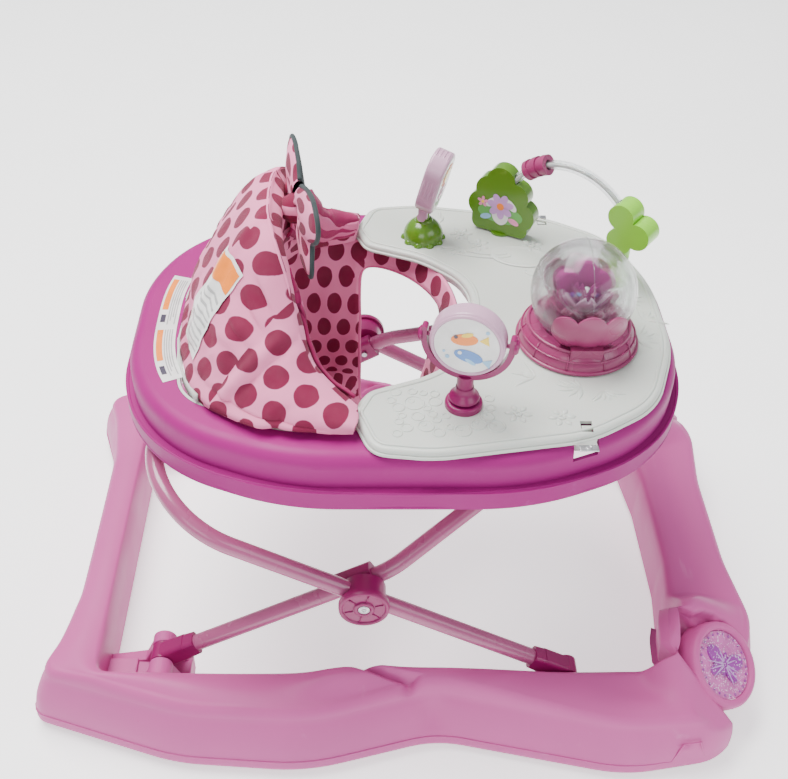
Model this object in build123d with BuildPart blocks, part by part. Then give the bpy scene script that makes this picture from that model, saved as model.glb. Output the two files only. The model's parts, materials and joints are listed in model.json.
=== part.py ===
from build123d import *
import os
from math import cos, hypot, pi, radians, sin, tan

# Baby walker. Millimetres, +X to the front, +Y to the baby's left, +Z up,
# origin on the floor under the middle of the floor ring.
os.makedirs("parts", exist_ok=True)

SIDES = {"left": 1, "right": -1}

# ---- floor ring ----
ring_bottom = 9.0
ring_top = 72.0
ring_shoulder = 14.0
# corner points of an outline's half on the +Y side, from rear to front, each with its rounding radius
ring_half = [
    (-332, 120, 150), (-362, 207, 16), (-215, 257, 200), (-90, 267, 200), (34, 235, 110),
    (212, 273, 150), (316, 256, 60), (359, 158, 90), (347, 60, 200),
]
inner_corners = [(-288, 198), (262, 198), (278, 60), (278, -60), (262, -198), (-288, -198)]
inner_corner_radius = 13.0

# ---- wheels ----
wheel_radius = 17.0
wheel_width = 8.0
axle_radius = 2.5
caster_xy = (262.0, 226.0)
caster_trail = 14.0
caster_well_radius = 36.0
caster_well_top = 44.0
stem_radius = 4.0
rear_wheel_xy = (-313.0, 185.0)
pad_places = [(-232, 227), (105, 226), (318, 75), (-310, 80)]

# ---- scissor frame: two U-shaped tubes crossed at the hubs ----
tube_radius = 8.0
tube_wall = 1.5
lower_arm = 226.4
upper_arm = 215.0
rest_angle = 30.0
hub_x = -36.0
foot_z = 60.0
hub_z = foot_z + lower_arm * sin(radians(rest_angle))
outer_leg_y = 188.0
inner_leg_y = 170.0
inner_bend = 28.0
inner_bar_half = 88.0
foot_x = hub_x - lower_arm * cos(radians(rest_angle))
shoe_x = hub_x + lower_arm * cos(radians(rest_angle))
bar_z = hub_z + upper_arm * sin(radians(rest_angle))
rear_bar_x = hub_x - upper_arm * cos(radians(rest_angle))
front_bar_x = hub_x + upper_arm * cos(radians(rest_angle))
pin_radius = 4.0
running = 0.05
slide_low_x = 142.0
slide_high_x = 220.0

# ---- deck ----
deck_a = 255.0
deck_b = 196.0
deck_power = 2.65
deck_bottom = 294.0
deck_lip = 312.0
deck_top = 344.0
opening_half = [
    (-205, 40, 200), (-196, 112, 45), (-110, 156, 110), (-30, 156, 110), (56, 92, 70), (77, 32, 90),
]

# ---- toy tray ----
tray_bottom = 344.3
tray_top = 352.0
tray_half = [
    (240, 50, 150), (212, 128, 80), (150, 168, 110), (20, 190, 110), (-30, 184, 22),
    (-46, 140, 16), (-34, 112, 20), (20, 90, 80), (64, 50, 70),
]

# ---- toys, each by its place on the tray ----
dome_xy = (23.0, 126.0)
paddle_turn = -22.0
paddle_lean = 14.0
paddle_pivot_z = 380.0
plaque_xy = (103.0, 138.0)
plaque_turn = -28.0
clover_xy = (208.0, 55.0)
globe_centre = (155.0, -40.0, 405.0)
globe_radius = 46.5
globe_wall = 2.0
cheek_y = globe_radius + 1.5
yoke_xy = (47.0, -130.0)
yoke_turn = -14.7
yoke_axis_z = 421.0
disc_radius = 31.0
disc_thickness = 17.0
arch_start_z = 408.0
arch_crown = (70.0, 450.0)
arch_end_z = 426.0
arch_tube_radius = 4.5


def rounded_face(half):
    """A face from rounded corners and their mirror images, for use inside a BuildSketch block."""
    corners = half + [(x, -y, radius) for x, y, radius in reversed(half)]
    with BuildLine() as outline:
        FilletPolyline(*[(x, y) for x, y, radius in corners], radius=[c[2] for c in corners], close=True)
    make_face(outline.edges())


def deck_face(inset):
    """The deck's superellipse drawn in by inset, as tangent arcs, for use inside a BuildSketch block."""
    conjugate = deck_power / (deck_power - 1)
    turn = pi / 8
    reach = []
    for step in range(16):
        along_x, along_y = deck_a * abs(cos(step * turn)), deck_b * abs(sin(step * turn))
        reach.append((along_x**conjugate + along_y**conjugate) ** (1 / conjugate) - inset)
    corners = []
    for step in range(16):
        near, far = reach[step], reach[(step + 1) % 16]
        side = (far - near * cos(turn)) / sin(turn)
        c, s = cos(step * turn), sin(step * turn)
        corners.append((near * c - side * s, near * s + side * c))
    radii = []
    for step in range(16):
        before = hypot(*(p - q for p, q in zip(corners[step], corners[step - 1])))
        after = hypot(*(p - q for p, q in zip(corners[step], corners[(step + 1) % 16])))
        radii.append(0.49 * min(before, after) / tan(turn / 2))
    with BuildLine() as outline:
        FilletPolyline(*corners, radius=radii, close=True)
    make_face(outline.edges())


def save(part, name):
    part.label = name
    export_step(part, f"parts/{name}.step")


def cross_rod(x, y, z, radius, length, mode=Mode.ADD):
    """A round rod along Y, for use inside a BuildPart block."""
    with Locations((x, y, z)):
        Cylinder(radius, length, rotation=(90, 0, 0), mode=mode)


# ---------------------------------------------------------------- floor ring
def badge_plane(side):
    """The tilted face of the round badge on a front corner."""
    return Plane(origin=(311, side * 191, 70), z_dir=(0.49, side * 0.39, 0.78))


with BuildPart() as base_ring:
    with BuildSketch(Plane.XY.offset(ring_bottom)):
        rounded_face(ring_half)
    extrude(amount=ring_top - ring_bottom)
    fillet(base_ring.faces().sort_by(Axis.Z)[-1].edges(), ring_shoulder)
    # opening, with a gusset left in each rear corner for the frame's foot
    with BuildSketch(Plane.XY.offset(ring_bottom)):
        with BuildLine():
            Polyline(*inner_corners, close=True)
        make_face()
        fillet(vertices(), inner_corner_radius)
        for side in SIDES.values():
            with Locations((foot_x - 17, side * 178)):
                Rectangle(84, 60, mode=Mode.SUBTRACT)
    extrude(amount=ring_top, mode=Mode.SUBTRACT)
    # badge housings
    for side in SIDES.values():
        with BuildSketch(badge_plane(side).offset(4)):
            Circle(52)
        extrude(amount=60, mode=Mode.SUBTRACT)
        with BuildSketch(badge_plane(side).offset(4)):
            Circle(37)
        extrude(amount=-30)
        with BuildSketch(badge_plane(side).offset(-0.5)):
            Circle(33)
        extrude(amount=10, mode=Mode.SUBTRACT)
    # hollow from below, in two steps, with solid columns left for pads, axle lugs and stems
    for inset_out, inset_in, low, high in ((3.5, 3.5, 0, 58), (14, 9, 57, 68)):
        with BuildSketch(Plane.XY.offset(low)):
            rounded_face(ring_half)
            offset(amount=-inset_out)
            with BuildSketch(mode=Mode.SUBTRACT):
                with BuildLine():
                    Polyline(*inner_corners, close=True)
                make_face()
                offset(amount=inset_in, kind=Kind.INTERSECTION)
            for side in SIDES.values():
                for x, y in pad_places:
                    with Locations((x, side * y)):
                        Rectangle(40 if abs(x) < 300 else 26, 24, mode=Mode.SUBTRACT)
                for lug_y in (-14, 14):
                    with Locations((rear_wheel_xy[0], side * (rear_wheel_xy[1] + lug_y))):
                        Rectangle(24, 6, mode=Mode.SUBTRACT)
                with Locations((caster_xy[0], side * caster_xy[1])):
                    Circle(12, mode=Mode.SUBTRACT)
        extrude(amount=high - low, mode=Mode.SUBTRACT)
    for side in SIDES.values():
        # wheel well and stem bore of the front caster
        with Locations((caster_xy[0], side * caster_xy[1], caster_well_top / 2)):
            Cylinder(caster_well_radius, caster_well_top, mode=Mode.SUBTRACT)
        with Locations((caster_xy[0], side * caster_xy[1], 54)):
            Cylinder(stem_radius + running, 24, mode=Mode.SUBTRACT)
        # rear axle bore
        cross_rod(rear_wheel_xy[0], side * rear_wheel_xy[1], wheel_radius, axle_radius, 36, Mode.SUBTRACT)
        # gusset slot for the frame's foot, its pin bore, and the slot that guides the front shoe
        with Locations((foot_x + 8, side * inner_leg_y, 62)):
            Box(70, 19, 50, mode=Mode.SUBTRACT)
        cross_rod(foot_x, side * inner_leg_y, foot_z, pin_radius, 42, Mode.SUBTRACT)
        with BuildSketch(Plane.XZ.offset(-side * 198)):
            with Locations(((slide_low_x + slide_high_x) / 2, foot_z)):
                SlotCenterToCenter(slide_high_x - slide_low_x, 2 * pin_radius + 0.8)
        extrude(amount=8, both=True, mode=Mode.SUBTRACT)
save(base_ring.part, "base_ring")

# pads that catch on a stair edge, a little off the floor
with BuildPart() as friction_pads:
    for x, y in pad_places:
        for side in SIDES.values():
            with Locations((x, side * y, ring_bottom - 2.5)):
                Box(38 if abs(x) < 300 else 22, 20, 5)
    fillet(friction_pads.edges().filter_by(Axis.Z), 3)
save(friction_pads.part, "friction_pads")


def butterfly_face(span):
    """Four wings and a body, about span across, for use inside a BuildSketch block."""
    for flip in (1, -1):
        with Locations(Location((flip * span * 0.27, span * 0.12), flip * 28)):
            Ellipse(span * 0.25, span * 0.17)
        with Locations(Location((flip * span * 0.2, -span * 0.16), flip * -38)):
            Ellipse(span * 0.19, span * 0.12)
    Ellipse(span * 0.055, span * 0.27)


for word, side in SIDES.items():
    with BuildPart() as badge_disc:
        with BuildSketch(badge_plane(side).offset(-0.5)):
            Circle(32.8)
        extrude(amount=3)
        fillet(badge_disc.edges().group_by(Axis.Z)[-1], 0.8)
    save(badge_disc.part, f"badge_disc_{word}")

    with BuildPart() as badge_butterfly:
        with BuildSketch(badge_plane(side).offset(2.5)):
            butterfly_face(46)
        extrude(amount=1.6)
    save(badge_butterfly.part, f"badge_butterfly_{word}")

    # front caster: swivelling fork, axle and a twin wheel
    axle_y = side * (caster_xy[1] + caster_trail)
    with BuildPart() as caster_fork:
        with BuildSketch(Plane.YZ.offset(caster_xy[0] - 3)):
            with Locations((axle_y, wheel_radius)):
                Circle(6)
            with Locations((side * (caster_xy[1] + 6), 29)):
                Rectangle(26, 16)
            with Locations((side * (caster_xy[1] + 11), 21)):
                Rectangle(11, 10)
        extrude(amount=6)
        with Locations((caster_xy[0], side * caster_xy[1], 40)):
            Cylinder(11, 7)
        with Locations((caster_xy[0], side * caster_xy[1], 52)):
            Cylinder(stem_radius, 22)
        with Locations((caster_xy[0], axle_y, wheel_radius)):
            Cylinder(axle_radius, 8, rotation=(0, 90, 0), mode=Mode.SUBTRACT)
    save(caster_fork.part, f"caster_fork_{word}")

    with BuildPart() as caster_axle:
        with Locations((caster_xy[0], axle_y, wheel_radius)):
            Cylinder(axle_radius, 24, rotation=(0, 90, 0))
    save(caster_axle.part, f"caster_axle_{word}")

    with BuildPart() as caster_wheels:
        for flip in (1, -1):
            with Locations((caster_xy[0] + flip * (3.5 + wheel_width / 2), axle_y, wheel_radius)):
                Cylinder(wheel_radius, wheel_width, rotation=(0, 90, 0))
        fillet(caster_wheels.edges().filter_by(GeomType.CIRCLE), 2)
        with Locations((caster_xy[0], axle_y, wheel_radius)):
            Cylinder(axle_radius + running, 40, rotation=(0, 90, 0), mode=Mode.SUBTRACT)
    save(caster_wheels.part, f"caster_wheels_{word}")

    # fixed rear wheel under the rear corner
    with BuildPart() as rear_axle:
        cross_rod(rear_wheel_xy[0], side * rear_wheel_xy[1], wheel_radius, axle_radius, 34)
    save(rear_axle.part, f"rear_axle_{word}")

    with BuildPart() as rear_wheel:
        cross_rod(rear_wheel_xy[0], side * rear_wheel_xy[1], wheel_radius, wheel_radius, 16)
        fillet(rear_wheel.edges().filter_by(GeomType.CIRCLE), 2)
        bore_radius = axle_radius + running
        cross_rod(rear_wheel_xy[0], side * rear_wheel_xy[1], wheel_radius, bore_radius, 20, Mode.SUBTRACT)
    save(rear_wheel.part, f"rear_wheel_{word}")

    with BuildPart() as foot_pin:
        cross_rod(foot_x, side * inner_leg_y, foot_z, pin_radius, 38)
    save(foot_pin.part, f"foot_pin_{word}")


# ---------------------------------------------------------------- scissor frame
lean = radians(rest_angle)
hub = (hub_x, 0, hub_z)
outer_plane = Plane(origin=hub, x_dir=(-cos(lean), 0, sin(lean)), z_dir=(-sin(lean), 0, -cos(lean)))
inner_plane = Plane(origin=hub, x_dir=(cos(lean), 0, sin(lean)), z_dir=(-sin(lean), 0, cos(lean)))
tube_end = lower_arm - 13


def bent_tube(plane, corners, radii, leg_y, hole_radius):
    """A U-shaped tube in the leaning plane, drilled where the hub screws pass."""
    with BuildPart() as tube:
        with BuildLine(plane) as route:
            FilletPolyline(*corners, radius=radii)
        with BuildSketch(Plane(origin=route.line @ 0, z_dir=route.line % 0)):
            Circle(tube_radius)
            Circle(tube_radius - tube_wall, mode=Mode.SUBTRACT)
        sweep(path=route.line)
        for side in SIDES.values():
            cross_rod(hub_x, side * leg_y, hub_z, hole_radius, 24, Mode.SUBTRACT)
    return tube.part


outer_corners = [
    (-tube_end, -outer_leg_y), (upper_arm, -outer_leg_y), (upper_arm, outer_leg_y), (-tube_end, outer_leg_y),
]
inner_corners_route = [
    (-tube_end, -inner_leg_y), (inner_bend, -inner_leg_y), (upper_arm, -inner_bar_half),
    (upper_arm, inner_bar_half), (inner_bend, inner_leg_y), (-tube_end, inner_leg_y),
]
save(bent_tube(outer_plane, outer_corners, 82, outer_leg_y, 3), "outer_tube")
save(bent_tube(inner_plane, inner_corners_route, [70, 45, 45, 70], inner_leg_y, 3 + running), "inner_tube")


def leg_plane(plane, along, y):
    """A plane across a leg, at a distance along it from the hub."""
    place = plane.origin + plane.x_dir * along + Vector(0, y, 0)
    return Plane(origin=place, z_dir=plane.x_dir, x_dir=(0, 1, 0))


for word, side in SIDES.items():
    # outer hub: a round cap and a clamp round the outer tube
    with BuildPart() as hub_cap:
        with BuildSketch(Plane.XZ.offset(-side * 191.5)):
            with Locations((hub_x, hub_z)):
                Circle(20)
        extrude(amount=12, both=True)
        with BuildSketch(Plane.XZ.offset(-side * 201)):
            with Locations((hub_x, hub_z)):
                Circle(23)
        extrude(amount=2.5, both=True)
        fillet(hub_cap.edges().filter_by(GeomType.CIRCLE).sort_by(Axis.Y)[-1 if side > 0 else 0], 1.5)
        with BuildSketch(leg_plane(outer_plane, -30, side * outer_leg_y)):
            Circle(tube_radius)
        extrude(amount=60, mode=Mode.SUBTRACT)
        cross_rod(hub_x, side * 190, hub_z, 3, 40, Mode.SUBTRACT)
        cross_rod(hub_x, side * 203, hub_z, 5, 2, Mode.SUBTRACT)
    save(hub_cap.part, f"hub_cap_{word}")

    # inner hub: a block clipped round the inner tube
    with BuildPart() as hub_clip:
        with BuildSketch(leg_plane(inner_plane, -25, side * (inner_leg_y - 2))):
            RectangleRounded(16, 26, 5)
        extrude(amount=37)
        with BuildSketch(leg_plane(inner_plane, -30, side * inner_leg_y)):
            Circle(tube_radius)
        extrude(amount=60, mode=Mode.SUBTRACT)
        cross_rod(hub_x, side * inner_leg_y, hub_z, 3 + running, 40, Mode.SUBTRACT)
    save(hub_clip.part, f"hub_clip_{word}")

    with BuildPart() as hub_screw:
        cross_rod(hub_x, side * 180, hub_z, 3, 46)
        cross_rod(hub_x, side * 203.5, hub_z, 5, 3)
        cross_rod(hub_x, side * 204.5, hub_z, 2, 2, Mode.SUBTRACT)
    save(hub_screw.part, f"hub_screw_{word}")

    # foot caps on the tubes' lower ends: a wedge with an eye or a pin
    for name, plane, leg_y in (("foot_cap", inner_plane, inner_leg_y), ("shoe", outer_plane, outer_leg_y)):
        end = plane.origin - plane.x_dir * lower_arm + Vector(0, side * leg_y, 0)
        with BuildPart() as cap:
            cross_rod(end.X, end.Y, end.Z, 11, 18)
            with BuildSketch(leg_plane(plane, -lower_arm, side * leg_y)):
                RectangleRounded(18, 21, 4)
            extrude(amount=30)
            with BuildSketch(leg_plane(plane, -lower_arm + 29, side * leg_y)):
                RectangleRounded(18, 20, 4)
            extrude(amount=12, taper=4)
            with BuildSketch(leg_plane(plane, -tube_end, side * leg_y)):
                Circle(tube_radius)
            extrude(amount=40, mode=Mode.SUBTRACT)
            if name == "foot_cap":
                cross_rod(end.X, end.Y, end.Z, pin_radius + running, 24, Mode.SUBTRACT)
            else:
                cross_rod(end.X, side * 200, end.Z, pin_radius, 10)
        save(cap.part, f"{name}_{word}")


# ---------------------------------------------------------------- deck
latch_x = 147.0
hinge_y = 60.0
track_y = 38.0
release_x = 220.0

with BuildPart() as deck_ring:
    with BuildSketch(Plane.XY.offset(deck_bottom)):
        deck_face(0)
    extrude(amount=deck_lip - deck_bottom)
    with BuildSketch(Plane.XY.offset(deck_lip)):
        deck_face(7)
    extrude(amount=deck_top - deck_lip)
    fillet(deck_ring.faces().sort_by(Axis.Z)[-1].edges(), 12)
    for inset, low, high in ((3.5, deck_bottom, 308.5), (10.5, 308, 333), (16, 332.5, 340.5)):
        with BuildSketch(Plane.XY.offset(low)):
            deck_face(inset)
        extrude(amount=high - low, mode=Mode.SUBTRACT)
    with BuildSketch(Plane.XY.offset(318)):
        rounded_face(opening_half)
        offset(amount=3.5)
    extrude(amount=deck_top - 318)
    with BuildSketch(Plane.XY.offset(deck_bottom)):
        rounded_face(opening_half)
    extrude(amount=60, mode=Mode.SUBTRACT)
    for side in SIDES.values():
        with Locations((latch_x, side * 168, 340)):
            Box(22, 34, 24, mode=Mode.SUBTRACT)
save(deck_ring.part, "deck_ring")

for word, side in SIDES.items():
    # rear hinge block round the outer tube's crossbar
    with BuildPart() as deck_hinge:
        with Locations((rear_bar_x, side * hinge_y, (268 + 340.5) / 2)):
            Box(20, 16, 340.5 - 268)
        fillet(deck_hinge.edges().filter_by(Axis.Y).group_by(Axis.Z)[0], 9)
        cross_rod(rear_bar_x, side * hinge_y, bar_z, tube_radius + running, 20, Mode.SUBTRACT)
    save(deck_hinge.part, f"deck_hinge_{word}")

    # front track in which the inner tube's crossbar slides
    with BuildPart() as deck_track:
        with BuildSketch(Plane.XZ.offset(-side * track_y)):
            with Locations((170, (266 + 340.5) / 2)):
                RectangleRounded(104, 340.5 - 266, 6)
            with Locations((170, bar_z)):
                SlotCenterToCenter(74, 2 * tube_radius + 0.6, mode=Mode.SUBTRACT)
            with Locations((170, 316)):
                RectangleRounded(76, 26, 8, mode=Mode.SUBTRACT)
        extrude(amount=3, both=True)
    save(deck_track.part, f"deck_track_{word}")

with BuildPart() as height_release:
    with Locations((release_x, 0, 300)):
        Box(22, 56, 8)
    fillet(height_release.edges().filter_by(Axis.Z), 4)
    with Locations((release_x, 0, 316)):
        Box(8, 40, 28)
save(height_release.part, "height_release")

with BuildPart() as release_guide:
    with Locations((release_x, 0, 333.5)):
        Box(30, 52, 14)
    with Locations((release_x, 0, 330)):
        Box(24, 41, 14, mode=Mode.SUBTRACT)
save(release_guide.part, "release_guide")

# stiff hoop on which the seat's fabric hangs
with BuildPart() as seat_hoop:
    with BuildSketch(Plane.XY.offset(322)):
        rounded_face(opening_half)
        offset(amount=-0.4)
    extrude(amount=22)
    with BuildSketch(Plane.XY.offset(322)):
        rounded_face(opening_half)
        offset(amount=-2.9)
    extrude(amount=22, mode=Mode.SUBTRACT)
save(seat_hoop.part, "seat_hoop")

# hanging seat: a fabric tub with two leg openings
sling_x = -66.0
with BuildPart() as seat_sling:
    for shrink, low, mode in ((0, 206, Mode.ADD), (4, 210, Mode.SUBTRACT)):
        with BuildSketch(Plane.XY.offset(low)):
            with Locations((sling_x - 8, 0)):
                Ellipse(86 - shrink, 82 - shrink)
        with BuildSketch(Plane.XY.offset(342)):
            with Locations((sling_x, 0)):
                Ellipse(131 - shrink, 145 - shrink)
        loft(mode=mode)
    with BuildSketch(Plane.XY.offset(190)):
        for side in SIDES.values():
            with Locations((-34, side * 46)):
                Ellipse(50, 32)
    extrude(amount=90, mode=Mode.SUBTRACT)
save(seat_sling.part, "seat_sling")

# padded back, leaning forwards as it rises
with BuildPart() as seat_back:
    with BuildSketch(Plane(origin=(-170, 0, 344), z_dir=(0, 0, 1))):
        RectangleRounded(30, 190, 12)
    with BuildSketch(Plane(origin=(-150, 0, 415), z_dir=(0, 0, 1))):
        RectangleRounded(30, 168, 12)
    with BuildSketch(Plane(origin=(-126, 0, 486), z_dir=(0, 0, 1))):
        RectangleRounded(24, 116, 11)
    loft()
save(seat_back.part, "seat_back")

# side wings of the seat's fabric, folded over the deck's edge
with BuildPart() as seat_wings:
    for side in SIDES.values():
        with BuildSketch(Plane.XY.offset(344.4)):
            with Locations(Location((-105, side * 139), -side * -13)):
                RectangleRounded(112, 24, 10)
        extrude(amount=26, taper=12)
save(seat_wings.part, "seat_wings")

with BuildPart() as butterfly_flap:
    with BuildSketch(Plane.YZ.offset(-93)):
        for side in SIDES.values():
            with Locations((side * 42, 464)):
                Ellipse(37, 36)
            with Locations((side * 8, 464)):
                Rectangle(24, 22)
    extrude(amount=9)
    with BuildSketch(Plane.YZ.offset(-117.2)):
        with Locations((0, 464)):
            Circle(10)
    extrude(amount=24.2)
save(butterfly_flap.part, "butterfly_flap")


# ---------------------------------------------------------------- toy tray
with BuildPart() as toy_tray:
    with BuildSketch(Plane.XY.offset(tray_bottom)):
        rounded_face(tray_half)
    extrude(amount=tray_top - tray_bottom)
    fillet(toy_tray.faces().sort_by(Axis.Z)[-1].edges(), 3.5)
    with BuildSketch(Plane.XY.offset(tray_bottom)):
        rounded_face(tray_half)
        offset(amount=-4)
    extrude(amount=4.5, mode=Mode.SUBTRACT)
    for side in SIDES.values():
        with Locations((latch_x, side * 157, 348)):
            Box(10, 13, 12, mode=Mode.SUBTRACT)
save(toy_tray.part, "toy_tray")

for word, side in SIDES.items():
    with BuildPart() as tray_latch:
        with Locations((latch_x, side * 159, 337)):
            Box(18, 10, 14)
        fillet(tray_latch.edges(), 1.2)
        with Locations((latch_x, side * 157, 346)):
            Box(8, 5, 9)
    save(tray_latch.part, f"tray_latch_{word}")

# rocking paddle on a domed foot, both turned a little towards the right
dome_x, dome_y = dome_xy
dome_axis = Axis((dome_x, dome_y, 0), (0, 0, 1))
with BuildPart() as paddle_foot:
    with BuildSketch(Plane.XZ.offset(-dome_y)):
        with BuildLine():
            Polyline((dome_x, tray_top), (dome_x + 20, tray_top), (dome_x + 20, tray_top + 5))
            low, crown = (dome_x + 20, tray_top + 5), (dome_x + 6, tray_top + 22)
            ThreePointArc(low, (dome_x + 15, tray_top + 16), crown)
            Polyline((dome_x + 6, tray_top + 22), (dome_x + 5, tray_top + 33), (dome_x, tray_top + 33))
            Line((dome_x, tray_top + 33), (dome_x, tray_top))
        make_face()
    revolve(axis=dome_axis)
    cross_rod(dome_x, dome_y, paddle_pivot_z, 2 + running, 14, Mode.SUBTRACT)
save(paddle_foot.part.rotate(dome_axis, paddle_turn), "paddle_foot")

tilt = radians(paddle_lean)
paddle_pivot = (dome_x, dome_y, paddle_pivot_z)
paddle_plane = Plane(origin=paddle_pivot, x_dir=(0, 1, 0), z_dir=(cos(tilt), 0, -sin(tilt)))
with BuildPart() as paddle:
    with BuildSketch(paddle_plane.offset(-9)):
        with Locations((0, 40)):
            RectangleRounded(42, 66, 20)
    extrude(amount=18)
    fillet(paddle.edges(), 2.5)
    with Locations((dome_x, dome_y, paddle_pivot_z - 2)):
        Cylinder(9, 24, mode=Mode.SUBTRACT)
    # two ears and the pin they turn on
    for flip in (1, -1):
        with BuildSketch(Plane.XZ.offset(-dome_y - flip * 8)):
            with Locations((dome_x, paddle_pivot_z)):
                Circle(4.5)
            with Locations((dome_x + 1.5, paddle_pivot_z + 8)):
                Rectangle(9, 16)
        extrude(amount=1.6, both=True)
    cross_rod(dome_x, dome_y, paddle_pivot_z, 2, 19)
save(paddle.part.rotate(dome_axis, paddle_turn), "paddle")

# green plaque that holds one end of the arched tube
plaque_plane = Plane(
    origin=(plaque_xy[0], plaque_xy[1], tray_top),
    x_dir=(cos(radians(plaque_turn)), sin(radians(plaque_turn)), 0),
    z_dir=(sin(radians(plaque_turn)), -cos(radians(plaque_turn)), 0),
)
with BuildPart() as bead_plaque:
    with BuildSketch(plaque_plane.offset(-7)):
        with Locations((0, 16)):
            RectangleRounded(60, 30, 10)
        with Locations((-20, 30), (21, 26), (-13, 48), (13, 46)):
            Circle(15)
        with Locations((-2, 60)):
            Circle(15)
        with Locations((0, 1)):
            Rectangle(90, 2, mode=Mode.SUBTRACT)
        with Locations((0, -10)):
            Rectangle(90, 20, mode=Mode.SUBTRACT)
    extrude(amount=14)
    with Locations((plaque_xy[0], plaque_xy[1], tray_top + 1)):
        Cylinder(11, 2)

# the arch stands over the tray in the upright plane from the plaque to the clover
arch_dir = Vector(clover_xy[0] - plaque_xy[0], clover_xy[1] - plaque_xy[1], 0).normalized()
arch_across = arch_dir.cross(Vector(0, 0, 1))
arch_plane = Plane(origin=(plaque_xy[0], plaque_xy[1], 0), x_dir=arch_dir, z_dir=arch_across)
arch_span = hypot(clover_xy[0] - plaque_xy[0], clover_xy[1] - plaque_xy[1])
arch_points = [(8, arch_start_z), arch_crown, (arch_span - 6, arch_end_z)]

with BuildPart() as arch_tube:
    with BuildLine(arch_plane) as arch_line:
        ThreePointArc(*arch_points)
    with BuildSketch(Plane(origin=arch_line.line @ 0, z_dir=arch_line.line % 0)):
        Circle(arch_tube_radius)
        Circle(arch_tube_radius - 1.2, mode=Mode.SUBTRACT)
    sweep(path=arch_line.line)
arch_edge = arch_line.edge()


def arch_frame(share):
    """A plane across the arch at a share of its length."""
    return Plane(origin=arch_line.line @ share, z_dir=arch_line.line % share)


with BuildPart(mode=Mode.PRIVATE) as arch_core:
    with BuildSketch(arch_frame(0)):
        Circle(arch_tube_radius)
    sweep(path=arch_line.line)

save(bead_plaque.part - arch_core.part, "bead_plaque")
save(arch_tube.part, "arch_tube")

# ribbed bead that slides along the arch
bead_start = 0.2
bead_length = 24.0
arch_length = arch_edge.length
with BuildPart() as sliding_bead:
    middle = bead_start + bead_length / 2 / arch_length
    for index, radius in enumerate((10, 8.6, 10, 8.6, 10)):
        share = middle + (index - 2) * 5.0 / arch_length
        with BuildSketch(arch_frame(share).offset(-2.6)):
            Circle(radius)
        extrude(amount=5.2)
    with BuildSketch(arch_frame(bead_start - 0.06)):
        Circle(arch_tube_radius + 0.4)
    with BuildLine(arch_plane) as bore_line:
        bore_ends = [arch_line.line @ (bead_start - 0.06), arch_line.line @ (bead_start + 0.3)]
        ThreePointArc(bore_ends[0], arch_line.line @ middle, bore_ends[1])
    sweep(path=bore_line.line, mode=Mode.SUBTRACT)
save(sliding_bead.part, "sliding_bead")

# green clover post that holds the arch's other end
with BuildPart() as clover_post:
    with BuildSketch(arch_plane.offset(-11)):
        with Locations((arch_span, 400), (arch_span - 2, 424), (arch_span + 16, 410)):
            Circle(13)
    extrude(amount=22)
    with Locations((clover_xy[0], clover_xy[1], tray_top + 4)):
        Cylinder(15, 8)
    with Locations((clover_xy[0], clover_xy[1], tray_top + 24)):
        Cylinder(8, 40)
    add(arch_core.part, mode=Mode.SUBTRACT)
save(clover_post.part, "clover_post")

# spinning globe between two three-lobed cheeks on a round pedestal
gx, gy, gz = globe_centre
bowl_radius = globe_radius + 1.5
rim_z = tray_top + 19
rim_inner = (bowl_radius**2 - (gz - rim_z) ** 2) ** 0.5
bowl_middle_z = gz - (bowl_radius**2 - 18**2) ** 0.5
with BuildPart() as globe_pedestal:
    with BuildSketch(Plane.XZ.offset(-gy)):
        with BuildLine():
            Polyline((gx, tray_top), (gx + 53, tray_top), (gx + 53, tray_top + 4))
            ThreePointArc((gx + 53, tray_top + 4), (gx + 50.5, tray_top + 12), (gx + 44.5, rim_z))
            Line((gx + 44.5, rim_z), (gx + rim_inner, rim_z))
            ThreePointArc((gx + rim_inner, rim_z), (gx + 18, bowl_middle_z), (gx, gz - bowl_radius))
            Line((gx, gz - bowl_radius), (gx, tray_top))
        make_face()
    revolve(axis=Axis((gx, gy, 0), (0, 0, 1)))
    # blocks under the cheeks
    for flip in (1, -1):
        with Locations((gx, gy + flip * 44, tray_top + 15)):
            Box(28, 8, 18)
save(globe_pedestal.part, "globe_pedestal")

for word, side in SIDES.items():
    with BuildPart() as cheek:
        with BuildSketch(Plane.XZ.offset(-(gy + side * (cheek_y + 1.5)))):
            with Locations((gx - 17, gz - 6), (gx, gz), (gx + 17, gz - 6)):
                Circle(12)
            with Locations((gx, gz - 18)):
                Rectangle(40, 24)
        extrude(amount=1.5, both=True)
        with Locations((gx, gy + side * (cheek_y + 1.5), tray_top + 22)):
            Box(40, 3, 10)
        cross_rod(gx, gy + side * (cheek_y - 0.5), gz, 4, 4)
    save(cheek.part, f"globe_cheek_{word}")

with BuildPart() as globe_shell:
    with Locations((gx, gy, gz)):
        Sphere(globe_radius)
        Sphere(globe_radius - globe_wall, mode=Mode.SUBTRACT)
    for flip in (1, -1):
        cross_rod(gx, gy + flip * 45, gz, 4 + running, 6, Mode.SUBTRACT)
save(globe_shell.part, "globe_shell")

with BuildPart() as globe_flower:
    with BuildSketch(Plane.XZ.offset(-gy)):
        for petal in range(5):
            turn = radians(90 + 72 * petal)
            with Locations((gx + 16 * cos(turn), gz + 6 + 16 * sin(turn))):
                Circle(10.5)
        with Locations((gx, gz + 6)):
            Circle(12)
        with Locations((gx, gz - 20)):
            Rectangle(7, 36)
    extrude(amount=4, both=True)
    with Locations((gx, gy, gz)):
        Sphere(globe_radius - globe_wall, mode=Mode.INTERSECT)
save(globe_flower.part, "globe_flower")

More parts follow.
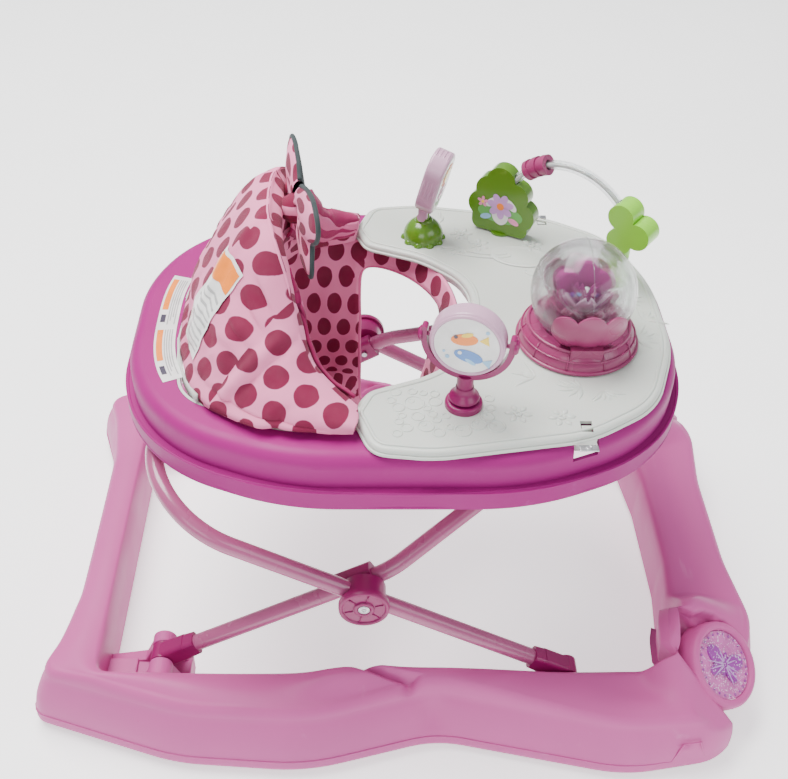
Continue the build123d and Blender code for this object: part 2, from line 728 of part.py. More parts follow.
# mirror disc that spins in a swivelling yoke
yoke_plane = Plane(
    origin=(yoke_xy[0], yoke_xy[1], yoke_axis_z),
    x_dir=(cos(radians(yoke_turn)), sin(radians(yoke_turn)), 0),
    z_dir=(sin(radians(yoke_turn)), -cos(radians(yoke_turn)), 0),
)
with BuildPart() as yoke_foot:
    with Locations((yoke_xy[0], yoke_xy[1], tray_top + 3)):
        Cylinder(16, 6)
    fillet(yoke_foot.edges().group_by(Axis.Z)[-1], 3)
    with Locations((yoke_xy[0], yoke_xy[1], tray_top + 12)):
        Cylinder(4, 24)
save(yoke_foot.part, "yoke_foot")

yoke_inner = disc_radius + 2.5
with BuildPart() as yoke:
    with BuildSketch(yoke_plane.offset(-4)):
        Circle(yoke_inner + 5)
        Circle(yoke_inner, mode=Mode.SUBTRACT)
        with Locations((0, 30)):
            Rectangle(90, 56, mode=Mode.SUBTRACT)
        with Locations((yoke_inner + 2.5, 2), (-yoke_inner - 2.5, 2)):
            RectangleRounded(5, 14, 2.4)
    extrude(amount=8)
    with Locations((yoke_xy[0], yoke_xy[1], tray_top + 20.5)):
        Cylinder(7, 25)
    with Locations((yoke_xy[0], yoke_xy[1], tray_top + 14.5)):
        Cylinder(4 + running, 19.5, mode=Mode.SUBTRACT)
    for flip in (1, -1):
        pin_root = yoke_plane.origin - yoke_plane.x_dir * flip * (yoke_inner + 1)
        with BuildSketch(Plane(origin=pin_root, z_dir=yoke_plane.x_dir * flip)):
            Circle(2)
        extrude(amount=7)
save(yoke.part, "yoke")

with BuildPart() as spinner_disc:
    with BuildSketch(yoke_plane.offset(-disc_thickness / 2)):
        Circle(disc_radius)
    extrude(amount=disc_thickness)
    fillet(spinner_disc.edges().filter_by(GeomType.CIRCLE), 3)
    with BuildSketch(Plane(origin=yoke_plane.origin - yoke_plane.x_dir * 40, z_dir=yoke_plane.x_dir)):
        Circle(2 + running)
    extrude(amount=80, mode=Mode.SUBTRACT)
save(spinner_disc.part, "spinner_disc")
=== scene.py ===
import bmesh
import bpy
import json
import math
import random
from math import cos, exp, pi, radians, sin, sqrt
from mathutils import Matrix, Vector, noise
from mathutils.bvhtree import BVHTree


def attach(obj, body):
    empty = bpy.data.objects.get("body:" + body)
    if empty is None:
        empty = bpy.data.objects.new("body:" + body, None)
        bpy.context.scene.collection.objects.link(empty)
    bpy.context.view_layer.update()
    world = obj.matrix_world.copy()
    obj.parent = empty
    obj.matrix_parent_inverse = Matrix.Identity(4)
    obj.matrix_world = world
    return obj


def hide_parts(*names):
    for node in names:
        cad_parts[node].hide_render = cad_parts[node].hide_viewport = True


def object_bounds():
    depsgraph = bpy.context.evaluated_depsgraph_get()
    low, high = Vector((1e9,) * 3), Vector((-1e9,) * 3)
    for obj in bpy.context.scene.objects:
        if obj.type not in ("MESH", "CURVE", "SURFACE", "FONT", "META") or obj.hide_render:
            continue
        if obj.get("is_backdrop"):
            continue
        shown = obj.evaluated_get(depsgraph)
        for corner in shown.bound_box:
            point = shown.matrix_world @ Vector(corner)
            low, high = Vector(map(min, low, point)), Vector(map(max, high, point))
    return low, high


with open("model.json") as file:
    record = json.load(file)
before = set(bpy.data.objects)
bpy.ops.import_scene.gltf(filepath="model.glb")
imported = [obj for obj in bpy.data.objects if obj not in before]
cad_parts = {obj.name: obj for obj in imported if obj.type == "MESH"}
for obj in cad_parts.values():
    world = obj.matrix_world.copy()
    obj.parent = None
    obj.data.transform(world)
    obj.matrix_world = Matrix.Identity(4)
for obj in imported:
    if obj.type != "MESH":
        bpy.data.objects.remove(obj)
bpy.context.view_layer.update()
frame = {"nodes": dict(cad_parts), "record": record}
nodes = frame["nodes"]
SIDES = {"left": 1, "right": -1}
random.seed(7)
MM = 0.001


# ------------------------------------------------------------------ materials
class Shader:
    """Small helper for building node materials."""

    def __init__(self, name):
        self.mat = bpy.data.materials.new(name)
        self.mat.use_nodes = True
        self.tree = self.mat.node_tree
        self.bsdf = self.tree.nodes["Principled BSDF"]

    def node(self, kind, **inputs):
        made = self.tree.nodes.new(kind)
        for key, value in inputs.items():
            self.put(made, key.replace("_", " "), value)
        return made

    def put(self, node, key, value):
        socket = node.inputs[int(key)] if key.strip().isdigit() else node.inputs[key]
        if isinstance(value, bpy.types.NodeSocket):
            self.tree.links.new(value, socket)
        else:
            socket.default_value = value

    def math(self, operation, a, b=0.0, c=0.0):
        made = self.tree.nodes.new("ShaderNodeMath")
        made.operation = operation
        for index, value in enumerate((a, b, c)):
            self.put(made, str(index), value)
        return made.outputs[0]

    def noise(self, scale, detail=3.0, coords="Object", stretch=None):
        place = self.tree.nodes.new("ShaderNodeTexCoord").outputs[coords]
        if stretch:
            mapping = self.node("ShaderNodeMapping", Vector=place, Scale=stretch)
            place = mapping.outputs[0]
        made = self.node("ShaderNodeTexNoise", Vector=place, Scale=scale, Detail=detail)
        return made.outputs["Fac"]

    def ramp(self, value, low, high, out_low=0.0, out_high=1.0):
        made = self.tree.nodes.new("ShaderNodeMapRange")
        made.interpolation_type = "SMOOTHSTEP"
        for index, item in enumerate((value, low, high, out_low, out_high)):
            self.put(made, str(index), item)
        return made.outputs[0]

    def mix(self, share, a, b):
        made = self.tree.nodes.new("ShaderNodeMix")
        made.data_type = "RGBA"
        self.put(made, "0", share)
        self.put(made, "6", a)
        self.put(made, "7", b)
        return made.outputs[2]

    def bump(self, height, strength, distance):
        made = self.node("ShaderNodeBump", Height=height, Strength=strength, Distance=distance)
        self.put(self.bsdf, "Normal", made.outputs[0])

    def set(self, **inputs):
        for key, value in inputs.items():
            self.put(self.bsdf, key.replace("_", " "), value)
        return self.mat


def shade(colour, factor):
    return tuple(min(1.0, c * factor) for c in colour[:3]) + (1.0,)


def plastic(name, colour, rough=0.38, grain=0.06, coat=0.0, tone=0.86, subsurface=0.0):
    """Moulded plastic: cloudy tone, fine grain, patchy gloss and a few scuffs."""
    s = Shader(name)
    cloud = s.ramp(s.noise(5.0, 4.0), 0.3, 0.72)
    base = s.mix(cloud, shade(colour, tone), shade(colour, 1.0))
    scuff = s.ramp(s.noise(46.0, 5.0, stretch=(1.0, 0.2, 1.0)), 0.66, 0.78)
    base = s.mix(s.math("MULTIPLY", scuff, 0.22), base, shade([sqrt(c) for c in colour[:3]], 0.95))
    gloss = s.ramp(s.noise(19.0, 3.0), 0.25, 0.8, rough - 0.06, rough + 0.09)
    fine = s.noise(900.0, 2.0)
    s.bump(fine, grain, 0.0004)
    return s.set(Base_Color=base, Roughness=gloss, Coat_Weight=coat, Coat_Roughness=0.12,
                 Subsurface_Weight=subsurface, Subsurface_Scale=0.01)


def paint(name, colour, rough=0.24):
    """Glossy powder paint on steel tube, with orange peel."""
    s = Shader(name)
    cloud = s.ramp(s.noise(9.0, 4.0), 0.3, 0.7)
    base = s.mix(cloud, shade(colour, 0.85), shade(colour, 1.05))
    chip = s.ramp(s.noise(120.0, 4.0), 0.73, 0.78)
    base = s.mix(s.math("MULTIPLY", chip, 0.35), base, shade(colour, 0.45))
    s.bump(s.noise(260.0, 2.0), 0.12, 0.0004)
    return s.set(Base_Color=base, Roughness=s.ramp(s.noise(30.0), 0.2, 0.8, rough - 0.05, rough + 0.08),
                 Coat_Weight=0.35, Coat_Roughness=0.1)


def fabric(name, base_colour, dot_colour=None, cell=0.0285, radius=0.355, weave=1500.0):
    """Woven cloth over a UV map in metres, with staggered round dots when a dot colour is given."""
    s = Shader(name)
    uv = s.tree.nodes.new("ShaderNodeTexCoord").outputs["UV"]
    split = s.node("ShaderNodeSeparateXYZ", Vector=uv)
    u, v = split.outputs[0], split.outputs[1]
    cloud = s.ramp(s.noise(14.0, 4.0), 0.25, 0.75)
    colour = s.mix(cloud, shade(base_colour, 0.86), shade(base_colour, 1.04))
    if dot_colour:
        wobble = s.math("MULTIPLY", s.math("SUBTRACT", s.noise(60.0), 0.5), 0.10)
        row = s.math("FLOOR", s.math("DIVIDE", v, cell * 0.88))
        shift = s.math("MULTIPLY", s.math("MODULO", s.math("ABSOLUTE", row), 2.0), 0.5)
        along = s.math("ADD", s.math("DIVIDE", u, cell), shift)
        across = s.math("FRACT", s.math("DIVIDE", v, cell * 0.88))
        dx = s.math("SUBTRACT", s.math("FRACT", along), 0.5)
        dy = s.math("MULTIPLY", s.math("SUBTRACT", across, 0.5), 0.88)
        away = s.math("SQRT", s.math("ADD", s.math("MULTIPLY", dx, dx), s.math("MULTIPLY", dy, dy)))
        mask = s.ramp(s.math("ADD", away, wobble), radius - 0.012, radius + 0.012, 1.0, 0.0)
        tone = s.mix(s.ramp(s.noise(22.0), 0.3, 0.7), shade(dot_colour, 0.85), shade(dot_colour, 1.1))
        colour = s.mix(mask, colour, tone)
    warp = s.math("SINE", s.math("MULTIPLY", u, weave * 2 * pi))
    weft = s.math("SINE", s.math("MULTIPLY", v, weave * 2 * pi))
    thread = s.math("ADD", s.math("MULTIPLY", warp, weft), s.math("MULTIPLY", s.noise(500.0), 1.2))
    s.bump(thread, 0.22, 0.0005)
    return s.set(Base_Color=colour, Roughness=s.ramp(s.noise(80.0), 0.2, 0.8, 0.72, 0.92),
                 Sheen_Weight=0.08, Sheen_Roughness=0.5)


def printed(name, colour, rough=0.3):
    """A printed sticker's ink under gloss film."""
    s = Shader(name)
    base = s.mix(s.ramp(s.noise(55.0, 3.0), 0.3, 0.75), shade(colour, 0.9), shade(colour, 1.05))
    s.bump(s.noise(120.0), 0.05, 0.0005)
    return s.set(Base_Color=base, Roughness=s.ramp(s.noise(40.0), 0.2, 0.8, rough - 0.08, rough + 0.1),
                 Coat_Weight=0.3)


def glitter(name, colour, scale=900.0):
    s = Shader(name)
    place = s.tree.nodes.new("ShaderNodeTexCoord").outputs["Object"]
    cells = s.node("ShaderNodeTexVoronoi", Vector=place, Scale=scale)
    spark = s.ramp(s.node("ShaderNodeSeparateXYZ", Vector=cells.outputs["Color"]).outputs[0], 0.82, 0.95)
    base = s.mix(s.ramp(s.noise(60.0), 0.3, 0.7), shade(colour, 0.85), shade(colour, 1.1))
    base = s.mix(s.math("MULTIPLY", spark, 0.55), base, (1.0, 0.85, 1.0, 1.0))
    s.bump(cells.outputs["Distance"], 0.35, 0.0004)
    return s.set(Base_Color=base, Roughness=s.ramp(s.noise(90.0), 0.2, 0.8, 0.22, 0.36), Coat_Weight=0.4)


def clear(name, tint, rough=0.0):
    s = Shader(name)
    base = s.mix(s.ramp(s.noise(18.0), 0.3, 0.7), shade(tint, 0.97), shade(tint, 1.0))
    return s.set(Base_Color=base, Roughness=s.ramp(s.noise(26.0), 0.25, 0.8, rough, rough + 0.03),
                 Transmission_Weight=0.97, IOR=1.16, Alpha=0.62, Coat_Weight=0.35, Coat_Roughness=0.03)


def metal(name, colour, rough=0.3):
    s = Shader(name)
    brushed = s.noise(60.0, 4.0, stretch=(1.0, 14.0, 1.0))
    base = s.mix(s.ramp(brushed, 0.3, 0.7), shade(colour, 0.75), shade(colour, 1.05))
    s.bump(brushed, 0.15, 0.0003)
    return s.set(Base_Color=base, Metallic=1.0, Roughness=s.ramp(brushed, 0.2, 0.8, rough - 0.08, rough + 0.1))


PINK = (0.57, 0.10, 0.33)
MAGENTA = (0.34, 0.008, 0.18)
WHITE = (0.62, 0.65, 0.60)
CLOTH = (0.88, 0.25, 0.46)
DOT = (0.19, 0.001, 0.04)
mats = {
    "pink_plastic": plastic("pink_plastic", PINK, 0.46, 0.10, tone=0.88),
    "magenta_plastic": plastic("magenta_plastic", MAGENTA, 0.5, 0.05, tone=0.86),
    "hub_magenta": plastic("hub_magenta", (0.28, 0.004, 0.11), 0.32, 0.05, coat=0.1),
    "pink_paint": paint("pink_paint", (0.38, 0.08, 0.20)),
    "white_plastic": plastic("white_plastic", WHITE, 0.36, 0.06, coat=0.1, tone=0.94, subsurface=0.05),
    "dotted_fabric": fabric("dotted_fabric", CLOTH, DOT),
    "dark_fabric": fabric("dark_fabric", (0.022, 0.036, 0.038)),
    "green_plastic": plastic("green_plastic", (0.10, 0.24, 0.012), 0.22, 0.03, coat=0.3, tone=0.85),
    "rose_plastic": plastic("rose_plastic", (0.33, 0.038, 0.14), 0.28, 0.04, coat=0.2, tone=0.84),
    "pale_pink_plastic": plastic("pale_pink_plastic", (0.66, 0.38, 0.54), 0.28, 0.04, coat=0.2),
    "clear_plastic": clear("clear_plastic", (0.93, 0.95, 0.97)),
    "badge_glitter": glitter("badge_glitter", (0.60, 0.13, 0.42)),
    "badge_violet": glitter("badge_violet", (0.30, 0.03, 0.32)),
    "rubber": plastic("rubber", (0.20, 0.08, 0.13), 0.68, 0.3),
    "steel": metal("steel", (0.62, 0.62, 0.64)),
    "clover_green": plastic("clover_green", (0.27, 0.68, 0.04), 0.24, 0.03, coat=0.25),
}
stripe_cloth = fabric("stripe_light", (0.66, 0.13, 0.30))
stripe_dark = fabric("stripe_dark", (0.32, 0.004, 0.09))
ink = {key: printed(f"ink_{key}", colour) for key, colour in {
    "white": (0.84, 0.84, 0.82), "orange": (0.98, 0.24, 0.015), "grey": (0.42, 0.42, 0.42),
    "yellow": (0.93, 0.66, 0.06),
    "blue": (0.10, 0.25, 0.62), "sky": (0.30, 0.55, 0.80), "lilac": (0.58, 0.30, 0.66), "red": (0.75, 0.05, 0.07),
    "dark": (0.05, 0.04, 0.07), "pink": (0.85, 0.28, 0.50), "green": (0.12, 0.42, 0.08), "violet": (0.22, 0.03, 0.32),
}.items()}

for entry in frame["record"]["subparts"]:
    data = nodes[entry["node"]].data
    data.materials.clear()
    data.materials.append(mats[entry["material_slot"]])
nodes["clover_post"].data.materials[0] = mats["clover_green"]
for dull in ("magenta_plastic", "pink_plastic"):
    mats[dull].node_tree.nodes["Principled BSDF"].inputs["Specular IOR Level"].default_value = 0.22


# ------------------------------------------------------------------ mesh helpers
def add_mesh(name, verts, faces, mat, body, smooth=True, slot=None):
    """A mesh from millimetre points, riding on a body."""
    mesh = bpy.data.meshes.new(name)
    mesh.from_pydata([(x * MM, y * MM, z * MM) for x, y, z in verts], [], faces)
    mesh.validate()
    mesh.materials.append(mat)
    obj = bpy.data.objects.new(name, mesh)
    bpy.context.scene.collection.objects.link(obj)
    if smooth:
        mesh.polygons.foreach_set("use_smooth", [True] * len(mesh.polygons))
    if body:
        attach(obj, body)
    return obj


def grid(name, count_u, count_v, place, mat, body, wrap=False, skip=None, uv=None, slot=None):
    """A surface place(u, v) in millimetres over the unit square; wrap joins its u ends."""
    columns = count_u if wrap else count_u + 1
    verts = [place(i / count_u, j / count_v) for i in range(columns) for j in range(count_v + 1)]
    faces, marks = [], []
    for i in range(count_u):
        for j in range(count_v):
            if skip and skip((i + 0.5) / count_u, (j + 0.5) / count_v):
                continue
            a, b = i * (count_v + 1) + j, ((i + 1) % columns) * (count_v + 1) + j
            faces.append((a, b, b + 1, a + 1))
            marks.append(((i, j), (i + 1, j), (i + 1, j + 1), (i, j + 1)))
    obj = add_mesh(name, verts, faces, mat, body, slot=slot)
    layer = obj.data.uv_layers.new(name="map")
    loop = 0
    for corners in marks:
        middle = ((corners[0][0] + 0.5) / count_u, (corners[0][1] + 0.5) / count_v)
        for i, j in corners:
            layer.data[loop].uv = uv(i / count_u, j / count_v, *middle) if uv else (i / count_u, j / count_v)
            loop += 1
    return obj


def sweep_tube(name, path, radius, mat, body, sides=10, close=False, slot=None):
    """A round tube along a list of millimetre points; radius is a number or a function of the share along it."""
    points = [Vector(p) for p in path]
    rings, normal = [], None
    for index, point in enumerate(points):
        before = points[index - 1] if index or close else point
        after = points[(index + 1) % len(points)] if index + 1 < len(points) or close else point
        along = (after - before).normalized()
        if normal is None:
            normal = along.orthogonal().normalized()
        normal = (normal - along * normal.dot(along)).normalized()
        other = along.cross(normal)
        r = radius(index / (len(points) - 1)) if callable(radius) else radius
        rings.append([point + normal * r * cos(2 * pi * k / sides) + other * r * sin(2 * pi * k / sides)
                      for k in range(sides)])
    verts = [v for ring in rings for v in ring]
    faces = []
    total = len(rings) if close else len(rings) - 1
    for i in range(total):
        for k in range(sides):
            a, b = i * sides, ((i + 1) % len(rings)) * sides
            faces.append((a + k, a + (k + 1) % sides, b + (k + 1) % sides, b + k))
    if not close:
        faces.append(tuple(range(sides - 1, -1, -1)))
        faces.append(tuple((len(rings) - 1) * sides + k for k in range(sides)))
    return add_mesh(name, verts, faces, mat, body, slot=slot)


def plate(name, outline, origin, x_dir, normal, thick, mat, body, bevel=0.0, slot=None):
    """A flat plate from an outline of (x, y) millimetres in a plane, standing thick above it."""
    x_axis, z_axis = Vector(x_dir).normalized(), Vector(normal).normalized()
    y_axis = z_axis.cross(x_axis)
    base = Vector(origin)
    low = [base + x_axis * x + y_axis * y for x, y in outline]
    high = [p + z_axis * thick for p in low]
    count = len(outline)
    faces = [tuple(range(count - 1, -1, -1)), tuple(range(count, 2 * count))]
    faces += [(k, (k + 1) % count, count + (k + 1) % count, count + k) for k in range(count)]
    obj = add_mesh(name, low + high, faces, mat, body, smooth=False, slot=slot)
    if bevel:
        rounding = obj.modifiers.new("bevel", "BEVEL")
        rounding.width, rounding.segments = bevel * MM, 3
    return obj


def circle(x, y, z, radius, count):
    return [(x + radius * cos(2 * pi * k / count), y + radius * sin(2 * pi * k / count), z) for k in range(count)]


def ellipse(cx, cy, rx, ry, turn=0.0, count=40):
    c, s = cos(radians(turn)), sin(radians(turn))
    points = [(rx * cos(2 * pi * k / count), ry * sin(2 * pi * k / count)) for k in range(count)]
    return [(cx + x * c - y * s, cy + x * s + y * c) for x, y in points]


def lathe(name, profile, origin, axis, mat, body, sides=64, slot=None):
    """A turned surface from (radius, height) millimetres about an axis."""
    z_axis = Vector(axis).normalized()
    x_axis = z_axis.orthogonal().normalized()
    y_axis = z_axis.cross(x_axis)
    base = Vector(origin)

    def place(u, v):
        radius, height = profile[round(v * (len(profile) - 1))]
        return base + (x_axis * cos(2 * pi * u) + y_axis * sin(2 * pi * u)) * radius + z_axis * height

    girth = 2 * pi * max(radius for radius, height in profile) * MM
    return grid(name, sides, len(profile) - 1, place, mat, body, wrap=True, slot=slot,
                uv=lambda u, v, *middle: (u * girth, v * girth * 0.4))


def spline(keys, t):
    """Catmull-Rom through rows of numbers, t from 0 to 1."""
    span = t * (len(keys) - 1)
    index = min(int(span), len(keys) - 2)
    f = span - index
    rows = [keys[max(0, min(len(keys) - 1, index + k))] for k in (-1, 0, 1, 2)]
    return [0.5 * (2 * b + (c - a) * f + (2 * a - 5 * b + 4 * c - d) * f * f + (3 * b - a - 3 * c + d) * f**3)
            for a, b, c, d in zip(*rows)]


def smooth(low, high, value):
    t = max(0.0, min(1.0, (value - low) / (high - low)))
    return t * t * (3 - 2 * t)


def rounded_outline(corners, step=4):
    """A closed outline with its corners rounded, as points, from (x, y, radius)."""
    out = []
    count = len(corners)
    for i in range(count):
        p = Vector(corners[i][:2])
        a, b = Vector(corners[i - 1][:2]) - p, Vector(corners[(i + 1) % count][:2]) - p
        half = a.angle(b) / 2
        reach = min(corners[i][2] / math.tan(half), 0.49 * a.length, 0.49 * b.length)
        start, end = p + a.normalized() * reach, p + b.normalized() * reach
        for k in range(step * 2 + 1):
            t = k / (step * 2)
            out.append(start * (1 - t) ** 2 + p * 2 * t * (1 - t) + end * t * t)
    return out


# ------------------------------------------------------------------ floor ring's moulded skin
ring_tree = BVHTree.FromObject(nodes["base_ring"], bpy.context.evaluated_depsgraph_get())


def ring_hit(angle, height):
    """How far out the ring's outer wall is at an angle, in millimetres."""
    way = Vector((cos(angle), sin(angle), 0))
    return ring_tree.ray_cast(way * 0.6 + Vector((0, 0, height * MM)), -way)[0].xy.length / MM


BADGE = Vector((311, 191, 70))
BADGE_NORMAL = Vector((0.49, 0.39, 0.78)).normalized()


def badge_distance(x, y, z):
    """Distance from the badge's axis and height above its plane, mirrored to the left side."""
    gap = Vector((x, abs(y), z)) - BADGE
    up = gap.dot(BADGE_NORMAL)
    return (gap - BADGE_NORMAL * up).length, up


def reach(outline, angle):
    """Distance from the middle to a closed outline of points at an angle."""
    way, best = Vector((cos(angle), sin(angle))), 0.0
    for k, q in enumerate(outline):
        p = outline[k - 1]
        d = q - p
        cross = way.x * d.y - way.y * d.x
        if abs(cross) < 1e-9:
            continue
        far = (p.x * d.y - p.y * d.x) / cross
        share = (p.x * way.y - p.y * way.x) / cross
        if far > 0 and -1e-6 <= share <= 1 + 1e-6:
            best = max(best, far)
    return best


ANGLES = 720
WALL_HEIGHT = 56
INNER = rounded_outline([(-288, 198, 15), (262, 198, 15), (278, 60, 40),
                         (278, -60, 40), (262, -198, 15), (-288, -198, 15)])
ring_walls = [(ring_hit(2 * pi * k / ANGLES, WALL_HEIGHT), reach(INNER, 2 * pi * k / ANGLES)) for k in range(ANGLES)]


def to_badge(point, top):
    """Trims or swells the skin so that it meets the round badge's collar."""
    normal = Vector((BADGE_NORMAL.x, BADGE_NORMAL.y * (1 if point.y > 0 else -1), BADGE_NORMAL.z))
    away, up = badge_distance(*point)
    if point.x < 200 or away > 80:
        return point
    share = smooth(80, 41, away)
    if up > 3.4:
        point -= normal * (up - 3.4) * smooth(74, 60, away)
    elif top:
        point.z += min(3.4 - up, 30) / normal.z * share
    if away < 37.5:
        up = badge_distance(*point)[1]
        point -= normal * max(0.0, up + 8)
    return point


def crown(point, outer, radius, inner):
    """How far the ring's top stands above its plain height."""
    x, y = point
    side = smooth(120, 190, abs(y))
    share = min(1.0, max(0.0, (outer - radius) / max(outer - inner, 1)))
    hump = 15 * exp(-((x + 52) / 42) ** 2) * smooth(0.2, 0.66, share) * smooth(1.0, 0.8, share) * side
    crease_x = 30 - 84 * share ** 1.3
    shelf = 6.5 * smooth(crease_x, crease_x + 22, x) * smooth(220, 60, x)
    notch = (-8 * exp(-((x - crease_x) / 8) ** 2) + shelf) * side
    notch *= smooth(1.0, 0.85, share)
    rear = 5 * exp(-((x + 235) / 75) ** 2) * side * sin(pi * share) ** 2
    scoop = -6 * exp(-((x - 225) / 34) ** 2) * exp(-((share - 0.62) / 0.28) ** 2) * side
    front = -5 * smooth(250, 320, x) * smooth(150, 70, abs(y)) * sin(pi * share) ** 2
    return 4.5 * sin(pi * share) ** 0.8 + hump + notch + rear + scoop + front


SECTION = 64
CASTER = Vector((262, 226))
WELL_RADIUS, WELL_TOP = 36.5, 44.5


def clear_well(point, margin=0.0):
    """Lifts a point of the ring's wall that stands inside the caster's wheel well."""
    away = (Vector((point.x, abs(point.y))) - CASTER).length
    if away < WELL_RADIUS + margin:
        point.z = max(point.z, WELL_TOP + margin)
    return point


def ring_place(u, v):
    return clear_well(ring_section(u, v))


def ring_section(u, v):
    """The ring's cross-section: up the inner wall, over the top, down the sloping side and back underneath."""
    index = round(u * ANGLES) % ANGLES
    outer, inner = ring_walls[index]
    angle = 2 * pi * index / ANGLES
    way = Vector((cos(angle), sin(angle), 0))
    x, y = way.x * outer, way.y * outer
    inset = 20 - 9 * smooth(180, 120, abs(y)) - 8 * smooth(180, 300, x)
    notch = 7 * exp(-((x - 32) / 13) ** 2) * smooth(120, 190, abs(y))
    row = round(v * SECTION)
    over = outer - inset
    if row <= 8:
        t = row / 8
        return Vector((*(way * (inner + 2.4 * smooth(0.7, 1, t) ** 2)).xy, 9 + 62.6 * t))
    if row <= 34:
        t = (row - 8) / 26
        radius = (inner + 2.4) * (1 - t) + (over - 9) * t
        lift = crown(way.xy * radius, over, radius, inner)
        return to_badge(Vector((*(way * radius).xy, 71.6 + 1.6 * smooth(0, 0.1, t) + lift)), True)
    if row <= 42:
        t = (row - 34) / 8 * pi / 2
        lift = crown(way.xy * (over - 9), over, over - 9, inner)
        place = way * (over - 9 + 10.5 * sin(t))
        return to_badge(Vector((*place.xy, 73.2 - 9 * (1 - cos(t)) + lift * cos(t))), False)
    if row <= 54:
        t = (row - 42) / 12
        bulge = 5 * sin(pi * t) - notch * sin(pi * min(1, t * 1.3))
        radius = over + 1.5 + (inset - 2.5) * t ** 0.85 + bulge * 0.6
        return to_badge(Vector((*(way * radius).xy, 64.2 - 52 * t)), False)
    low = [(outer - 1.4, 9), (outer - 4, 9), (outer - 5, 18), (over - 4, 58), (over - 12, 65), (inner + 8, 66),
           (inner + 4.5, 60), (inner + 3.6, 30), (inner + 3.4, 9.2), (inner, 9)]
    radius, height = low[row - 55]
    point = Vector((*(way * radius).xy, height))
    if 57 <= row <= 61 and point.x > 200:
        away, up = badge_distance(*point)
        if away < 50 and up > -14:
            point.z -= up + 14
    return point


ring_skin = grid("ring_skin", ANGLES, SECTION, ring_place, mats["pink_plastic"], "base", wrap=True, slot="pink_plastic")

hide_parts("base_ring")


def block(name, low, high, mat, body, bevel=1.5, slot="pink_plastic"):
    """A box between two corners, in millimetres, with rounded edges."""
    outline = [(low[0], low[1]), (high[0], low[1]), (high[0], high[1]), (low[0], high[1])]
    return plate(name, outline, (0, 0, low[2]), (1, 0, 0), (0, 0, 1), high[2] - low[2], mat, body, bevel, slot)


FOOT = Vector((-232, 60))
for word, side in SIDES.items():
    # gusset cheeks for the frame's foot, axle lugs, pad columns and the caster's socket
    pink = mats["pink_plastic"]
    for name, x_range, y_range, z_range in (
            ("gusset_back", (-290, -259.5), (158, 182), (9, 40)), ("gusset_floor", (-262, -207), (158, 182), (9, 36.8)),
            ("lug_in", (-325, -301), (168, 174), (8, 62)), ("lug_out", (-325, -301), (196, 202), (8, 62))):
        y_low, y_high = sorted(side * y for y in y_range)
        block(f"{name}_{word}", (x_range[0], y_low, z_range[0]), (x_range[1], y_high, z_range[1]), pink, "base")
    ear = [(-289, 9), (-289, 33), (-252, 40)]
    ear += [(FOOT.x + 11.5 * cos(a), FOOT.y + 11.5 * sin(a)) for a in [pi * (1.05 - 1.1 * k / 16) for k in range(17)]]
    ear += [(-211, 38), (-207, 32), (-207, 9)]
    for name, y_range in (("gusset_in", (148, 160.4)), ("gusset_out", (179.6, 200))):
        y_low, y_high = sorted(side * y for y in y_range)
        plate(f"{name}_{word}", ear, (0, y_high, 0), (1, 0, 0), (0, -1, 0), y_high - y_low, pink, "base", 1.5,
              "pink_plastic")
    for index, (x, y) in enumerate(((-232, 227), (105, 226), (318, 75), (-310, 80))):
        y_low, y_high = sorted((side * (y - 10), side * (y + 10)))
        half = 17 if abs(x) < 300 else 10
        block(f"pad_column_{word}_{index}", (x - half, y_low, 8), (x + half, y_high, 50), pink, "base")
    lathe(f"caster_socket_{word}", [(4.4, 44), (12, 44), (12, 66)], (262, side * 226, 0), (0, 0, 1), pink, "base",
          sides=40, slot="pink_plastic")
    # a thin dark plate on the ring's inner wall: painted shade standing in for the inside of the shoe slot
    arcs = [(cx, start + pi * k / 10) for cx, start in ((220, -pi / 2), (142, pi / 2)) for k in range(11)]
    slot_shade_outline = [(cx + 4.4 * cos(a), side * -(60 + 4.4 * sin(a))) for cx, a in arcs]
    plate(f"painted_slot_shade_{word}", slot_shade_outline, (0, side * 197.7, 0), (1, 0, 0), (0, side, 0), 0.4, ink["dark"], "base")

# collars round the badges and a parting line low on the ring's wall
for word, side in SIDES.items():
    centre = Vector((BADGE.x, side * BADGE.y, BADGE.z))
    normal = Vector((BADGE_NORMAL.x, side * BADGE_NORMAL.y, BADGE_NORMAL.z))
    collar = [(42.5, -17.0), (42.0, -2.0), (41.4, 2.5), (39.6, 5.4), (36.8, 6.2), (34.4, 5.4), (33.2, 3.6), (33.1, 2.0)]
    lathe(f"badge_collar_{word}", collar,
          centre, normal, mats["pink_plastic"], "base", slot="pink_plastic")
    x_axis = normal.cross(Vector((0, side, 0))).normalized()
    # veins and an outline for the butterfly emblem
    for index in range(26):
        turn = 2 * pi * index / 26
        at = centre + normal * 2.6 + x_axis * 29.5 * cos(turn) + normal.cross(x_axis) * 29.5 * sin(turn)
        lathe(f"badge_bead_{word}_{index}", [(1.3, 0), (1.2, 0.5), (0.7, 0.9), (0.01, 1.0)], at, normal,
              mats["badge_violet"], "base", sides=10, slot="badge_violet")
    for flip in (1, -1):
        for index, turn in enumerate((8, 30, 52, -32, -55)):
            vein = 19 if turn > 0 else 13
            way = x_axis * flip * cos(radians(turn)) + normal.cross(x_axis) * sin(radians(turn)) * side
            sweep_tube(f"badge_vein_{word}_{flip + 1}_{index}",
                       [centre + normal * 4.1 + way * (3 + vein * k / 6) for k in range(7)],
                       lambda t: 0.25 + 0.75 * (1 - t), ink["lilac"], "base", sides=8)
seam_points = [Vector((cos(2 * pi * k / 360), sin(2 * pi * k / 360), 0)) * (ring_walls[k * 2][0] - 1.6)
               + Vector((0, 0, 20.5)) for k in range(360)]
seam_points = [clear_well(point, 2.5) for point in seam_points]
sweep_tube("ring_seam", seam_points, 0.8, mats["pink_plastic"], "base", sides=6, close=True, slot="pink_plastic")


